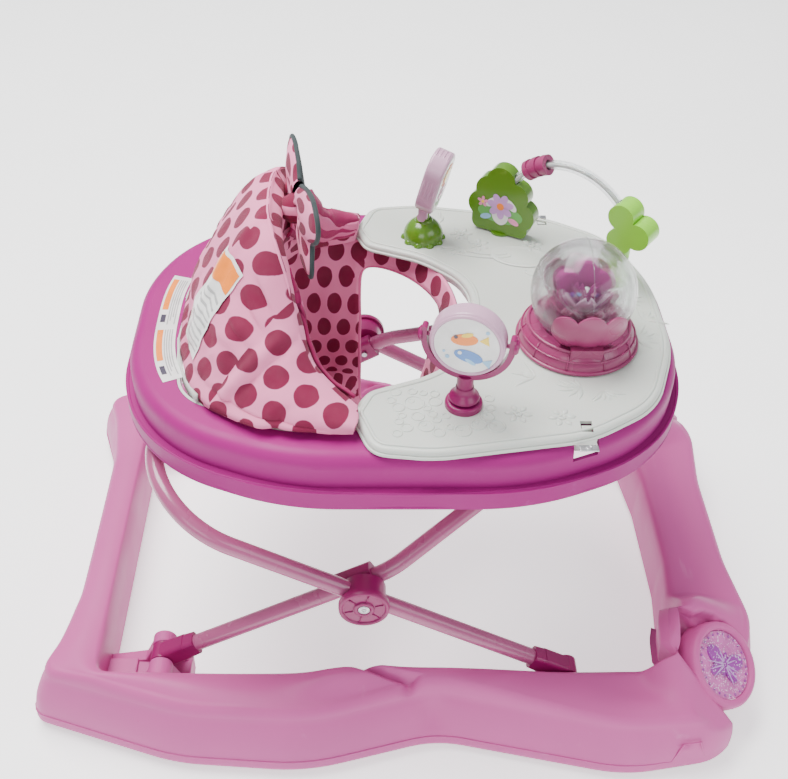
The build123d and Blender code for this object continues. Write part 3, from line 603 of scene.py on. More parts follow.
# ------------------------------------------------------------------ fabric seat
HOOD_OUT = [(-203, 0, 334), (-197, 52, 336), (-184, 97, 340), (-162, 132, 347), (-120, 156, 350.5), (-46, 159, 350.5)]
HOOD_RIM = [(-118, 0, 476), (-116, 35, 475), (-108, 66, 462), (-96, 92, 424), (-80, 121, 384), (-42, 149, 357)]
HOOD_IN = [(-156, 0, 330), (-151, 42, 330), (-142, 78, 332), (-126, 108, 335), (-95, 130, 340), (-46, 137, 346)]


def mirrored(keys, u):
    """A point on a line given for the left side, for u from -1 on the right to 1 on the left."""
    x, y, z = spline(keys, abs(u))
    return Vector((x, y if u >= 0 else -y, z))


def hood_place(u, v):
    side = 2 * u - 1
    low, rim, inner = mirrored(HOOD_OUT, side), mirrored(HOOD_RIM, side), mirrored(HOOD_IN, side)
    outward = Vector((low.x + 60, low.y, 0)).normalized()
    if v < 0.5:
        t = v / 0.5
        point = low.lerp(rim, t)
        puff = 19 * sin(pi * t ** 1.25) ** 0.7 * (1 - 0.55 * abs(side))
        roll = 9 * smooth(0.82, 1.0, t)
        point += outward * (puff + roll * (1 - t) * 4) + Vector((0, 0, 1)) * 3 * sin(pi * t)
        fold = 5.5 * exp(-((abs(side) - 0.60 - 0.06 * t) / 0.022) ** 2) * smooth(0.0, 0.3, t) * smooth(1.0, 0.8, t)
        fold -= 3.5 * exp(-((abs(side) - 0.66 - 0.04 * t) / 0.02) ** 2) * smooth(0.1, 0.5, t)
        fold += 3.5 * exp(-((abs(side) - 0.30 + 0.1 * t) / 0.03) ** 2) * smooth(0.25, 0.6, t)
        fold -= 3.0 * exp(-((abs(side) - 0.83) / 0.02) ** 2) * smooth(1, 0.2, t)
        pucker = 2.6 * sin(46 * t + 7 * side) * exp(-((abs(side) - 0.5) / 0.08) ** 2) * smooth(0.35, 0.75, t)
        hem = 3.0 * exp(-((t - 0.07) / 0.03) ** 2) - 2.4 * exp(-((t - 0.15) / 0.025) ** 2)
        crinkle = 5.0 * noise.noise(point * 0.021) + 2.4 * noise.noise(point * 0.055) + 1.0 * noise.noise(point * 0.13)
        return point + outward * (fold + pucker + hem * 0.8 + crinkle * sin(pi * min(1, t + 0.12)) ** 0.6)
    t = (v - 0.5) / 0.5
    over = 12 * sin(pi * min(t * 4, 1)) * (1 - 0.5 * abs(side))
    point = rim.lerp(inner, t) - outward * (13 * smooth(0.0, 0.12, t) + 6 * sin(pi * t)) * (1 - 0.55 * abs(side))
    point.z += over * 0.35
    pucker = 1.8 * sin(40 * t + 9 * side) * exp(-((abs(side) - 0.5) / 0.1) ** 2)
    crinkle = 3.5 * noise.noise(point * 0.024 + Vector((9, 0, 0))) + 1.6 * noise.noise(point * 0.07)
    return point - outward * (pucker + crinkle * smooth(0.0, 0.2, t))


SEAMS = (-1.01, -0.58, -0.22, 0.22, 0.58, 1.01)
panel_frames = {}


def hood_uv(u, v, mid_u, mid_v):
    """Each sewn panel of the hood gets its own flat map in metres."""
    side = 2 * mid_u - 1
    panel = sum(side > seam for seam in SEAMS) - 1
    key = (panel, mid_v > 0.5)
    if key not in panel_frames:
        centre_u = (max(-1, SEAMS[panel]) + min(1, SEAMS[panel + 1])) / 4 + 0.5
        centre_v = 0.75 if mid_v > 0.5 else 0.25
        across = (hood_place(centre_u + 0.03, centre_v) - hood_place(centre_u - 0.03, centre_v)).normalized()
        rise = hood_place(centre_u, centre_v + 0.1) - hood_place(centre_u, centre_v - 0.1)
        rise = (rise - across * rise.dot(across)).normalized()
        panel_frames[key] = (hood_place(centre_u, centre_v), across, rise)
    centre, across, rise = panel_frames[key]
    gap = hood_place(u, v) - centre
    return (gap.dot(across) * MM + 1.0 + 0.37 * panel, gap.dot(rise) * MM + 1.0)


hood = grid("seat_hood", 220, 120, hood_place, mats["dotted_fabric"], None, uv=hood_uv, slot="dotted_fabric")
shell = hood.modifiers.new("shell", "SOLIDIFY")
shell.thickness, shell.offset = 0.0022, -1
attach(hood, "deck")
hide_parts("seat_back", "seat_wings")


def well_place(u, v):
    """The hanging seat, from the hoop's edge down and in to the bottom."""
    turn = 2 * pi * u
    c, s = cos(turn), sin(turn)
    top = Vector((-66 + 128 * c, 147 * s, 343))
    power = 2.3
    scale = (abs(c) ** power + abs(s) ** power) ** (-1 / power)
    top.x = -66 + 128 * c * scale * 0.93
    top.y = 147 * s * scale * 0.93
    bottom = Vector((-72 + 82 * c, 80 * s, 208))
    if v < 0.78:
        t = v / 0.78
        point = top.lerp(bottom, t ** 0.9)
        point.z = 343 - (343 - 208) * sin(t * pi / 2) ** 1.15
    else:
        t = (v - 0.78) / 0.22
        point = Vector((-72, 0, 206)).lerp(bottom, 1 - t)
        point.z = 208 - 6 * sin(t * pi / 2)
    point += Vector((c, s, 0)) * (3.0 * noise.noise(point * 0.02) + 1.5 * noise.noise(point * 0.06)) * smooth(0, 0.2, v)
    if point.x > 60:
        point.x = 60 + (point.x - 60) * 0.8
    return point


def leg_hole(u, v):
    point = well_place(u, v)
    return point.x > -42 and 34 < abs(point.y) and point.z < 322 and (point.x < 46 or abs(point.y) > 20)


def well_uv(u, v, *middle):
    return (u * 0.86, v * 0.23)


well = grid("seat_well", 180, 70, well_place, mats["dotted_fabric"], None, wrap=True, skip=leg_hole, uv=well_uv,
            slot="dotted_fabric")


def bind_holes(obj):
    """Smooths the open edges of a mesh and returns them as loops of millimetre points."""
    made = bmesh.new()
    made.from_mesh(obj.data)
    bmesh.ops.remove_doubles(made, verts=made.verts, dist=0.0002)
    made.edges.index_update()
    open_edges = {e.index: e for e in made.edges if e.is_boundary}
    loops = []
    while open_edges:
        edge = open_edges.pop(min(open_edges))
        loop, tip = [edge.verts[0], edge.verts[1]], edge.verts[1]
        while True:
            after = next((e for e in tip.link_edges if e.index in open_edges), None)
            if after is None:
                break
            del open_edges[after.index]
            tip = after.other_vert(tip)
            loop.append(tip)
        loops.append(loop[:-1] if loop[0] == loop[-1] else loop)
    found = []
    for loop in loops:
        if len(loop) < 30 or sum(v.co.z for v in loop) / len(loop) > 0.335:
            continue
        for _ in range(30):
            mean = [(loop[k - 1].co + loop[(k + 1) % len(loop)].co) / 2 for k in range(len(loop))]
            for vert, place in zip(loop, mean):
                vert.co = vert.co.lerp(place, 0.6)
        found.append([v.co / MM for v in loop])
    made.to_mesh(obj.data)
    made.free()
    return found


for index, loop in enumerate(bind_holes(well)):
    sweep_tube(f"leg_binding_{index}", loop, 2.4, stripe_cloth, "deck", sides=8,
               close=True, slot="dotted_fabric")
quilt = well.modifiers.new("quilt", "SOLIDIFY")
quilt.thickness, quilt.offset = 0.0035, 1
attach(well, "deck")
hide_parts("seat_sling")

# piping along the hem and the rim's seam; the leg holes' binding is swept above
for word, side in SIDES.items():
    hem = [hood_place((1 + side * k / 40) / 2, 0.004) + Vector((0, 0, 0.5)) for k in range(41)]
    sweep_tube(f"hem_piping_{word}", hem, 2.0, mats["dotted_fabric"], "deck", sides=8, slot="dotted_fabric")
    seam = [hood_place((1 + side * k / 60) / 2, 0.5) for k in range(61)]
    sweep_tube(f"rim_piping_{word}", seam, 1.9, mats["dotted_fabric"], "deck", sides=8, slot="dotted_fabric")
    # the striped pad on the wing's inner face, with its bands running along the wing
    for stripe in range(5):
        def pad_place(u, v, s=stripe, sign=side):
            along = 0.5 + sign * (0.19 + 0.29 * u)
            down = (0.512 if sign > 0 else 0.60) + (s + v) * 0.05
            point = hood_place(along, down)
            across = hood_place(along + 0.004, down) - hood_place(along - 0.004, down)
            fall = hood_place(along, down + 0.008) - hood_place(along, down - 0.008)
            inward = across.cross(fall).normalized()
            lift = 7 + 8 * sin(pi * (s + v) / 5) ** 0.6 * sin(pi * min(max(u, 0.03), 0.97)) ** 0.5
            return point - inward * lift * (1 if inward.y * sign > 0 else -1)

        cloth = stripe_cloth if stripe % 2 else stripe_dark
        pad = grid(f"stripe_pad_{word}_{stripe}", 40, 6, pad_place, cloth, None, slot="dotted_fabric",
                   uv=lambda u, v, *middle: (u * 0.1, v * 0.02))
        thick = pad.modifiers.new("thick", "SOLIDIFY")
        thick.thickness, thick.offset = 0.003, 0
        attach(pad, "deck")

# white stiffener at the rear, between the fabric and the deck
strip = grid("stiffener", 60, 2, lambda u, v: mirrored(HOOD_OUT, 1.04 * u - 0.52) + Vector((-3.4, 0, 13 * v - 4)),
             mats["white_plastic"], None, slot="white_plastic")
band = strip.modifiers.new("band", "SOLIDIFY")
band.thickness = 0.0022
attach(strip, "deck")


# butterfly flap: padded wings, dotted at the back and dark at the front, with a dark binding
def wing_radius(turn):
    """The outline of the left wings by angle, in millimetres from the knot's side."""
    upper = exp(-((turn - 0.62) / 0.62) ** 2)
    lower = exp(-((turn + 0.72) / 0.52) ** 2)
    return 34 + 50 * upper + 40 * lower - 5 * exp(-(turn / 0.2) ** 2)


def flap_turn(point):
    """Turns the flap a little about the upright line through its knot."""
    angle = radians(11)
    x, y = point.x + 90, point.y
    return Vector((x * cos(angle) - y * sin(angle) - 90, x * sin(angle) + y * cos(angle), point.z))


for word, side in SIDES.items():
    for part, mat, offset, body_slot in (("back", mats["dotted_fabric"], -1, "dotted_fabric"),
                                         ("front", mats["dark_fabric"], 1, "dark_fabric")):
        def flap_place(u, v, sign=side, way=offset):
            turn = (u - 0.5) * pi * 0.98
            reach = wing_radius(turn) * v
            y, z = 4 + reach * cos(turn), 462 + reach * sin(turn) * 0.62
            puff = (14 if way < 0 else 8) * sqrt(max(0.0, 1 - v ** 3)) * (0.4 + 0.6 * smooth(0.0, 0.5, v))
            ruck = 1.6 * sin(turn * 11) * exp(-(v / 0.45) ** 2) + 1.2 * noise.noise(Vector((y, z, way * 40)) * 0.045)
            bend = 5.0 * smooth(0.4, 1.0, v) * sin(turn * 2.2)
            return flap_turn(Vector((-90 + way * (puff * 0.62 + ruck * 0.7) + bend * 0.5, sign * y, z)))

        wing = grid(f"flap_{part}_{word}", 72, 22, flap_place, mat, None,
                    uv=lambda u, v, *middle: (0.07 * v * cos((u - 0.5) * pi) + 0.4,
                                              0.07 * v * sin((u - 0.5) * pi) + 0.4),
                    slot=body_slot)
        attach(wing, "deck")
        if part == "back":
            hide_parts("butterfly_flap")
        else:
            edge = [flap_place(k / 90, 1.0) for k in range(91)]
            sweep_tube(f"flap_binding_{word}", edge, 2.1, mats["dark_fabric"], "deck", sides=8, slot="dark_fabric")
knot = lathe("flap_knot", [(0.1, -18), (9, -16.5), (13, -10), (14, 0), (13, 6), (9, 10.5), (0.1, 12)],
             (-90, 0, 462), (1, 0, 0), mats["dotted_fabric"], None, sides=40, slot="dotted_fabric")
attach(knot, "deck")


# ------------------------------------------------------------------ deck trim and labels
def deck_radius(angle, inset=0.0):
    c, s = abs(cos(angle)), abs(sin(angle))
    return ((c / (255 - inset)) ** 2.65 + (s / (196 - inset)) ** 2.65) ** (-1 / 2.65)


def deck_line(inset, height, count=240):
    return [Vector((cos(2 * pi * k / count), sin(2 * pi * k / count), 0)) * deck_radius(2 * pi * k / count, inset)
            + Vector((0, 0, height)) for k in range(count)]


sweep_tube("deck_lip_bead", deck_line(1.2, 311.0), 1.6, mats["magenta_plastic"], "deck", sides=8, close=True,
           slot="magenta_plastic")
sweep_tube("deck_low_bead", deck_line(1.0, 296.0), 1.5, mats["magenta_plastic"], "deck", sides=8, close=True,
           slot="magenta_plastic")


def label_piece(name, low_turn, high_turn, low_r, high_r, lift, mat):
    """A patch of the curved label on the deck's rear, by angle and by distance in from the edge."""
    def place(u, v):
        turn = radians(low_turn + (high_turn - low_turn) * u)
        radius = deck_radius(turn) - 37.5 + low_r + (high_r - low_r) * v
        return Vector((radius * cos(turn), radius * sin(turn), 344.25 + lift))
    return grid(name, 30, 3, place, mat, "deck")


label_piece("deck_label", 163, 204, -9.5, 9.5, 0.0, ink["white"])
for index, (low, high) in enumerate(((164.5, 183), (185, 202.5))):
    label_piece(f"deck_label_head_{index}", low, high - 6, 2, 7.5, 0.12, ink["orange"])
    for line in range(4):
        label_piece(f"deck_label_line_{index}_{line}", low, high - 1.5 * (line % 3), -0.4 - 2.1 * line,
                    0.6 - 2.1 * line, 0.12, ink["grey"])
    label_piece(f"deck_label_dot_{index}", high - 4, high - 1, 2.5, 7, 0.12, ink["dark"])


def hood_patch(name, u_low, u_high, v_low, v_high, lift, mat):
    """A patch lying on the hood's outer cloth."""
    def place(u, v):
        a, b = u_low + (u_high - u_low) * u, v_low + (v_high - v_low) * v
        point = hood_place(a, b)
        along = hood_place(a + 0.004, b) - hood_place(a - 0.004, b)
        up = hood_place(a, b + 0.008) - hood_place(a, b - 0.008)
        return point + up.cross(along).normalized() * lift
    return grid(name, 26, 26, place, mat, "deck")


LABEL = (0.315, 0.405, 0.10, 0.40)
hood_patch("cloth_label", *LABEL, 3.4, ink["white"])
hood_patch("cloth_label_head", 0.321, 0.399, 0.325, 0.39, 3.7, ink["orange"])
for line in range(9):
    v_low = 0.118 + line * 0.0215
    hood_patch(f"cloth_label_line_{line}", 0.323, 0.396 - 0.008 * (line % 3), v_low, v_low + 0.007, 3.65, ink["grey"])


# ------------------------------------------------------------------ toy tray: rim, bubbles, leaves and waves
TRAY = [(240, 50, 150), (212, 128, 80), (150, 168, 110), (20, 190, 110), (-30, 184, 22),
        (-46, 140, 16), (-34, 112, 20), (20, 90, 80), (64, 50, 70)]
tray_outline = rounded_outline(TRAY + [(x, -y, r) for x, y, r in reversed(TRAY)])


def inset_line(points, inset, height):
    out = []
    count = len(points)
    for i, p in enumerate(points):
        along = points[(i + 1) % count] - points[i - 1]
        normal = Vector((-along.y, along.x)).normalized()
        q = p + normal * inset
        out.append(Vector((q.x, q.y, height)))
    return out


sweep_tube("tray_rim", inset_line(tray_outline, 6.5, 351.6), 1.7, mats["white_plastic"], "tray", sides=8, close=True,
           slot="white_plastic")
sweep_tube("tray_foot", inset_line(tray_outline, -0.6, 346.0), 1.5, mats["white_plastic"], "tray", sides=8,
           close=True, slot="white_plastic")


def ring_of(name, x, y, radius, thick, mat=None, body="tray", z=351.9):
    sweep_tube(name, circle(x, y, z, radius, 28), thick,
               mat or mats["white_plastic"], body, sides=8, close=True, slot="white_plastic")


bubbles = []
for _ in range(900):
    x, y, r = random.uniform(-14, 74), random.uniform(-166, -106), random.uniform(3.0, 8.5)
    clear_of = all((x - a) ** 2 + (y - b) ** 2 > (r + c + 0.8) ** 2 for a, b, c in bubbles)
    off_foot = (x - 47) ** 2 + (y + 130) ** 2 > (r + 18) ** 2
    if clear_of and off_foot and y < -108 - 0.10 * x - r and len(bubbles) < 26:
        bubbles.append((x, y, r))
        ring_of(f"bubble_{len(bubbles)}", x, y, r, 0.85)
        if r > 5.5:
            ring_of(f"bubble_in_{len(bubbles)}", x - r * 0.3, y + r * 0.3, r * 0.3, 0.5)


def leaf(name, x, y, turn, length, width, bend=0.25, z=352.0):
    """A raised grass blade or leaf moulded on the tray."""
    def place(u, v):
        side = 2 * v - 1
        half = width / 2 * sin(pi * min(0.98, u + 0.02)) ** 0.8
        way = radians(turn + bend * 60 * u)
        px, py = x + length * u * cos(way), y + length * u * sin(way)
        lift = 2.2 * sin(pi * u) ** 0.6 * (1 - side * side) - 0.6 * exp(-(side / 0.18) ** 2) * sin(pi * u)
        return Vector((px - side * half * sin(way), py + side * half * cos(way), z - 0.5 + max(lift, 0)))
    grid(name, 14, 8, place, mats["white_plastic"], "tray", slot="white_plastic")


places = [(210, -40, 20, 9), (222, -12, 60, 7), (150, -108, 200, 8), (168, -112, 300, 8), (60, 108, 250, 7),
          (205, 20, 330, 8), (40, 152, 120, 6), (112, -95, 160, 6), (98, -62, 210, 5), (92, -30, 185, 5)]
for index, (x, y, turn, count) in enumerate(places):
    for k in range(count):
        spread = (k - count / 2) * 19 + random.uniform(-5, 5)
        leaf(f"leaf_{index}_{k}", x, y, turn + spread, random.uniform(13, 25), random.uniform(3.4, 5.6),
             random.uniform(-0.35, 0.35))
for index, (x, y) in enumerate([(62, 132), (132, 112), (78, 112), (172, 84), (92, -142), (128, -146)]):
    for petal in range(6):
        turn = 60 * petal + 13 * index
        leaf(f"petal_{index}_{petal}", x + 3.4 * cos(radians(turn)), y + 3.4 * sin(radians(turn)), turn, 9, 6.5, 0)
    ring_of(f"flower_eye_{index}", x, y, 2.4, 1.2)
for index, (cx, cy, rx, ry) in enumerate(((75, 100, 34, 9), (84, 101, 21, 5.5), (150, 60, 30, 8))):
    sweep_tube(f"tray_swirl_{index}",
               [(cx + rx * cos(radians(a)), cy + ry * sin(radians(a)) - 0.18 * rx * cos(radians(a)), 351.9)
                for a in range(-200, 31, 8)], lambda t: 0.5 + 1.1 * sin(pi * t), mats["white_plastic"], "tray", sides=8,
               slot="white_plastic")


def dish_place(u, v):
    a = 2 * pi * u
    r = 1 - v
    return Vector((118 + 30 * r * cos(a), 92 + 19 * r * sin(a) - 8 * r * cos(a) * 0.5,
                   352.3 + 1.1 * exp(-((r - 0.9) / 0.1) ** 2)))


grid("tray_dish", 48, 14, dish_place, mats["white_plastic"], "tray", wrap=True, slot="white_plastic")
for word, side in SIDES.items():
    plate(f"latch_pad_{word}", [(-8, -3.4), (8, -3.4), (8, 3.4), (-8, 3.4)], (147, side * 176, 344.1), (1, 0, 0),
          (0, 0, 1), 1.6, mats["steel"], "deck", 0.6, slot="steel")
    ring_of(f"latch_screw_{word}", 147, side * 176, 2.0, 0.6, mats["steel"], "deck", 345.8)


# ------------------------------------------------------------------ stickers and trim on the toys
def sticker(prefix, origin, x_dir, normal, body, shapes):
    """Flat printed shapes stacked on a face, as (outline, ink, lift)."""
    for index, (outline, tone, lift) in enumerate(shapes):
        place = Vector(origin) + Vector(normal).normalized() * lift * 0.35
        plate(f"{prefix}_{index}", outline, place, x_dir, normal, 0.3, ink[tone], body)


def wedge(cx, cy, reach, turn, open_by=50):
    a, b = radians(turn - open_by / 2), radians(turn + open_by / 2)
    return [(cx, cy), (cx + reach * cos(a), cy + reach * sin(a)), (cx + reach * 0.82 * cos((a + b) / 2),
            cy + reach * 0.82 * sin((a + b) / 2)), (cx + reach * cos(b), cy + reach * sin(b))]


def bloom(cx, cy, reach, petals, tone, eye, lift=1):
    shapes = []
    for k in range(petals):
        a = 2 * pi * k / petals + 0.3
        petal = ellipse(cx + reach * 0.6 * cos(a), cy + reach * 0.6 * sin(a), reach * 0.42, reach * 0.27,
                        360 * k / petals + 17)
        shapes.append((petal, tone, lift + 0.2 * (k % 2)))
    return shapes + [(ellipse(cx, cy, reach * 0.27, reach * 0.27), eye, lift + 1)]


# paddle: white face with a sun over flowers
turned = radians(-22)
tilt = radians(14)
face_n = Vector((cos(tilt) * cos(turned), cos(tilt) * sin(turned), -sin(tilt)))
face_x = Vector((-sin(turned), cos(turned), 0))
face_up = face_n.cross(face_x)
pivot = Vector((23, 126, 380))
middle = pivot + face_up * 40
oval = [(17.2 * cos(2 * pi * k / 60), max(-29.0, min(29.0, 33 * sin(2 * pi * k / 60)))) for k in range(60)]
for flip in (1, -1):
    n = face_n * flip
    x_dir = face_x * flip
    sun = [(ellipse(0, 12, 7.5, 7.5), "yellow", 2)] + [(wedge(0, 12, 12.5, 45 * k, 16), "orange", 1) for k in range(8)]
    stem = [([(-0.8, -24), (0.8, -24), (0.8, -8), (-0.8, -8)], "green", 1), (ellipse(5, -18, 5, 2, 30), "green", 1.2),
            (ellipse(-5, -20, 5, 2, 150), "green", 1.2)]
    sticker(f"paddle_print_{flip + 1}", middle + n * 9.0, x_dir, n, "paddle",
            [(oval, "white", 0)] + sun + stem + bloom(0, -8, 9, 6, "pink", "dark", 1.5))
rim_points = []
for k in range(80):
    a = 2 * pi * k / 80
    c, s = cos(a), sin(a)
    scale = (abs(c) ** 5 + abs(s) ** 5) ** (-0.2)
    rim_points.append((20.6 * c * min(scale, 1.02), 32.6 * s * min(scale, 1.02)))
for level in (-6.0, -2.0, 2.0, 6.0):
    rib = [middle + face_n * level + face_x * x + face_up * y for x, y in rim_points]
    sweep_tube(f"paddle_rib_{int(level + 10)}", rib, 1.1,
               mats["pale_pink_plastic"], "paddle", sides=8, close=True, slot="pale_pink_plastic")
# scalloped skirt and neck of the dome
for k in range(10):
    a = 2 * pi * k / 10
    lathe(f"dome_scallop_{k}", [(4.6, 0), (4.4, 1.6), (3.2, 3.0), (1.6, 3.7), (0.05, 4.0)],
          (23 + 18.2 * cos(a), 126 + 18.2 * sin(a), 352.4), (cos(a) * 0.5, sin(a) * 0.5, 1), mats["green_plastic"],
          "tray", sides=20, slot="green_plastic")
lathe("dome_neck", [(8.8, 0), (9.2, 1.4), (8.2, 3.0), (6.8, 3.6)], (23, 126, 371.5), (0, 0, 1), mats["green_plastic"],
      "tray", slot="green_plastic")

# plaque: a blossom with leaves on the green plate, both faces
plaque_n = Vector((sin(radians(-28)), -cos(radians(-28)), 0))
plaque_x = Vector((cos(radians(-28)), sin(radians(-28)), 0))
for flip in (1, -1):
    n, x_dir = plaque_n * flip, plaque_x * flip
    shapes = [(ellipse(0, 0, 24, 10.5), "green", 0), (ellipse(-9, 12, 8.5, 4, 40), "white", 1),
              (ellipse(10, 13, 8.5, 4, 140), "white", 1), (ellipse(0, 0, 9, 12, 10), "white", 1),
              (ellipse(-15, -6, 6, 3, 20), "sky", 1.2), (ellipse(15, -5, 6, 3, 160), "pink", 1.2)]
    sticker(f"plaque_print_{flip + 1}", Vector((103, 138, 376)) + n * 7.0, x_dir, n, "tray",
            shapes + bloom(0, 9, 14, 7, "lilac", "orange", 2) + bloom(-19, 10, 6, 5, "pink", "yellow", 2))
# arch: a white inner thread
ARCH_C = Vector((160.931, 92.2066, 377.562))
ARCH_X = Vector((0.7845, -0.620129, 0))


def arch_point(degrees, radius=72.54):
    a = radians(degrees)
    return ARCH_C + (ARCH_X * cos(a) + Vector((0, 0, 1)) * sin(a)) * radius


ARCH_LOW, ARCH_HIGH = 42.0, 155.2
sweep_tube("arch_core", [arch_point(ARCH_LOW + (ARCH_HIGH - ARCH_LOW) * k / 40) for k in range(41)], 2.2,
           mats["white_plastic"], "tray", sides=12, slot="white_plastic")

# globe: seams, flower petals, beads and a ribbed pedestal
GLOBE = Vector((155, -40, 405))
for index, tilt_deg in enumerate((0, 62, -62)):
    way = Vector((sin(radians(tilt_deg)), 0, cos(radians(tilt_deg))))
    seam = [GLOBE + (Vector((0, 1, 0)) * cos(2 * pi * k / 96) + way * sin(2 * pi * k / 96)) * 46.6 for k in range(96)]
    sweep_tube(f"globe_seam_{index}", seam, 0.55, mats["clear_plastic"], "globe", sides=6, close=True,
               slot="clear_plastic")
for word, side in SIDES.items():
    # three-lobed cheek that follows the globe
    def cheek_place(u, v, sign=side):
        across = (u - 0.5) * 2
        lobe = 0.14 * abs(cos(1.5 * pi * across)) ** 0.7
        top = 0.02 + lobe - 0.16 * across ** 2 - 0.30 * smooth(0.86, 1.0, abs(across))
        rise = -0.86 + (top + 0.86) * v
        turn = 0.74 * across * (0.72 + 0.28 * smooth(-0.86, -0.2, rise))
        radius = 49.4 + 1.0 * sin(pi * v) * abs(cos(1.5 * pi * across))
        return GLOBE + Vector((sin(turn) * cos(rise), sign * cos(turn) * cos(rise), sin(rise))) * radius

    cheek = grid(f"cheek_{word}", 66, 24, cheek_place, mats["rose_plastic"], "tray", slot="rose_plastic")
    wall = cheek.modifiers.new("wall", "SOLIDIFY")
    wall.thickness, wall.offset = 0.0022, 1
    soft_edge = cheek.modifiers.new("soft_edge", "BEVEL")
    soft_edge.width, soft_edge.segments = 0.0006, 2
    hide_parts(f"globe_cheek_{word}")
flower_tones = ["rose_plastic", "pale_pink_plastic", "magenta_plastic"]
for layer in range(3):
    for petal in range(6):
        def petal_place(u, v, k=petal, level=layer):
            a = 2 * pi * (k + 0.5 * (level % 2)) / 6
            reach = (30 - 8 * level) * u
            half = (12.5 - 2.5 * level) * sin(pi * min(0.97, u * 0.9 + 0.06)) ** 0.7
            side = 2 * v - 1
            x, y = reach * cos(a) - side * half * sin(a), reach * sin(a) + side * half * cos(a)
            z = -26 + 6 * level + 20 * u * u + 5 * side * side * u + level * 3
            return GLOBE + Vector((x, y * 0.95, z))
        made = grid(f"globe_petal_{layer}_{petal}", 12, 8, petal_place, mats[flower_tones[layer]], "globe",
                    slot=flower_tones[layer])
        body = made.modifiers.new("body", "SOLIDIFY")
        body.thickness = 0.0014
for k in range(12):
    a = 2 * pi * k / 12
    at = GLOBE + Vector((11 * cos(a), 10 * sin(a), 4 + 4 * sin(3 * a)))
    stamen = [GLOBE + Vector((0, 0, -16)), GLOBE + Vector((5 * cos(a), 5 * sin(a), -6)), at]
    sweep_tube(f"globe_stamen_{k}", stamen, 0.9, ink["yellow"], "globe", sides=6)
    lathe(f"globe_bead_{k}", [(0.05, -3), (2.1, -2.1), (3, 0), (2.1, 2.1), (0.05, 3)], at, (0, 0, 1),
          ink[("blue", "white", "pink", "violet")[k % 4]], "globe", sides=14)
for k in range(0, 40, 4):
    a = 2 * pi * k / 40
    path = [Vector((GLOBE.x + r * cos(a), GLOBE.y + r * sin(a), z))
            for r, z in ((53.2, 356.5), (52.2, 361), (50.3, 365), (47.3, 369))]
    sweep_tube(f"pedestal_rib_{k}", path, 0.9, mats["rose_plastic"], "tray", sides=6, slot="rose_plastic")
for index, (r, z, t) in enumerate(((53.4, 354.4, 1.9), (45.2, 371.2, 1.7), (50.9, 364.4, 0.8))):
    sweep_tube(f"pedestal_ring_{index}", circle(GLOBE.x, GLOBE.y, z, r, 90), t, mats["rose_plastic"], "tray",
               sides=8, close=True, slot="rose_plastic")

# spinner: print on both faces, rims and pivot buttons
yoke_x = Vector((0.967268, -0.253758, 0))
yoke_n = Vector((-0.253758, -0.967268, 0))
hub = Vector((47, -130, 421))
for flip in (1, -1):
    n, x_dir = yoke_n * flip, yoke_x * flip
    fish = [(ellipse(0, 0, 26.5, 26.5, 0, 60), "white", 0), (ellipse(-2, 6, 11, 5.6, 8), "orange", 1.4),
            (wedge(10, 7, 9, 8, 62), "yellow", 1.3), (ellipse(-9, 8, 1.7, 1.7), "dark", 2.4),
            (ellipse(0, 11, 5, 2, 20), "yellow", 1.8), (ellipse(2, -10, 12, 5.8, -12), "blue", 1.4),
            (wedge(13, -13, 9, -12, 62), "sky", 1.3), (ellipse(-5, -7, 1.7, 1.7), "white", 2.4),
            (ellipse(4, -15, 5, 1.8, -30), "sky", 1.8), (ellipse(-15, -13, 1.8, 1.8), "sky", 1.2),
            (ellipse(-18, -8, 1.2, 1.2), "sky", 1.2), (ellipse(16, 16, 1.6, 1.6), "sky", 1.2)]
    sticker(f"spinner_print_{flip + 1}", hub + n * 8.5, x_dir, n, "disc", fish)
    up = n.cross(x_dir)
    rim = [hub + n * 8.3 + (x_dir * cos(2 * pi * k / 80) + up * sin(2 * pi * k / 80)) * 28.2 for k in range(80)]
    sweep_tube(f"spinner_rim_{flip + 1}", rim, 1.5, mats["pale_pink_plastic"], "disc", sides=8, close=True,
               slot="pale_pink_plastic")
    lathe(f"yoke_button_{flip + 1}", [(6.4, 0), (6.2, 2), (4.6, 3.4), (0.05, 3.8)], hub + yoke_x * flip * 37.4,
          yoke_x * flip, mats["hub_magenta"], "yoke", sides=32, slot="hub_magenta")
lathe("yoke_skirt", [(13, 0), (12.6, 2.4), (9.4, 4.2), (8.0, 8.4), (7.6, 12)], (47, -130, 360.6), (0, 0, 1),
      mats["hub_magenta"], "yoke", sides=40, slot="hub_magenta")

# hubs: raised rims and recessed centres
HUB = Vector((-36, 0, 173.2))
for word, side in SIDES.items():
    face = HUB + Vector((0, side * 203.3, 0))
    lathe(f"hub_rim_{word}", [(22.8, -0.4), (22.6, 1.2), (21.2, 2.0), (19.6, 1.4), (19.0, 0.1)], face, (0, side, 0),
          mats["hub_magenta"], "outer_frame", slot="hub_magenta")
    lathe(f"hub_boss_{word}", [(9.6, -0.3), (9.2, 1.6), (8.0, 2.2), (6.2, 2.0), (5.6, 0.4)], face, (0, side, 0),
          mats["hub_magenta"], "outer_frame", sides=40, slot="hub_magenta")
    lathe(f"hub_screw_head_{word}", [(5.0, 0), (4.9, 1.3), (3.9, 2.2), (2.0, 2.4), (1.9, 1.2), (0.05, 1.1)], face,
          (0, side, 0), mats["steel"], "outer_frame", sides=32, slot="steel")
    for k in range(6):
        a = 2 * pi * k / 6 + 0.3
        spoke = [face + Vector((r * cos(a), side * 0.4, r * sin(a))) for r in (10.5, 14, 18.2)]
        sweep_tube(f"hub_spoke_{word}_{k}", spoke, 0.8,
                   mats["hub_magenta"], "outer_frame", sides=6, slot="hub_magenta")


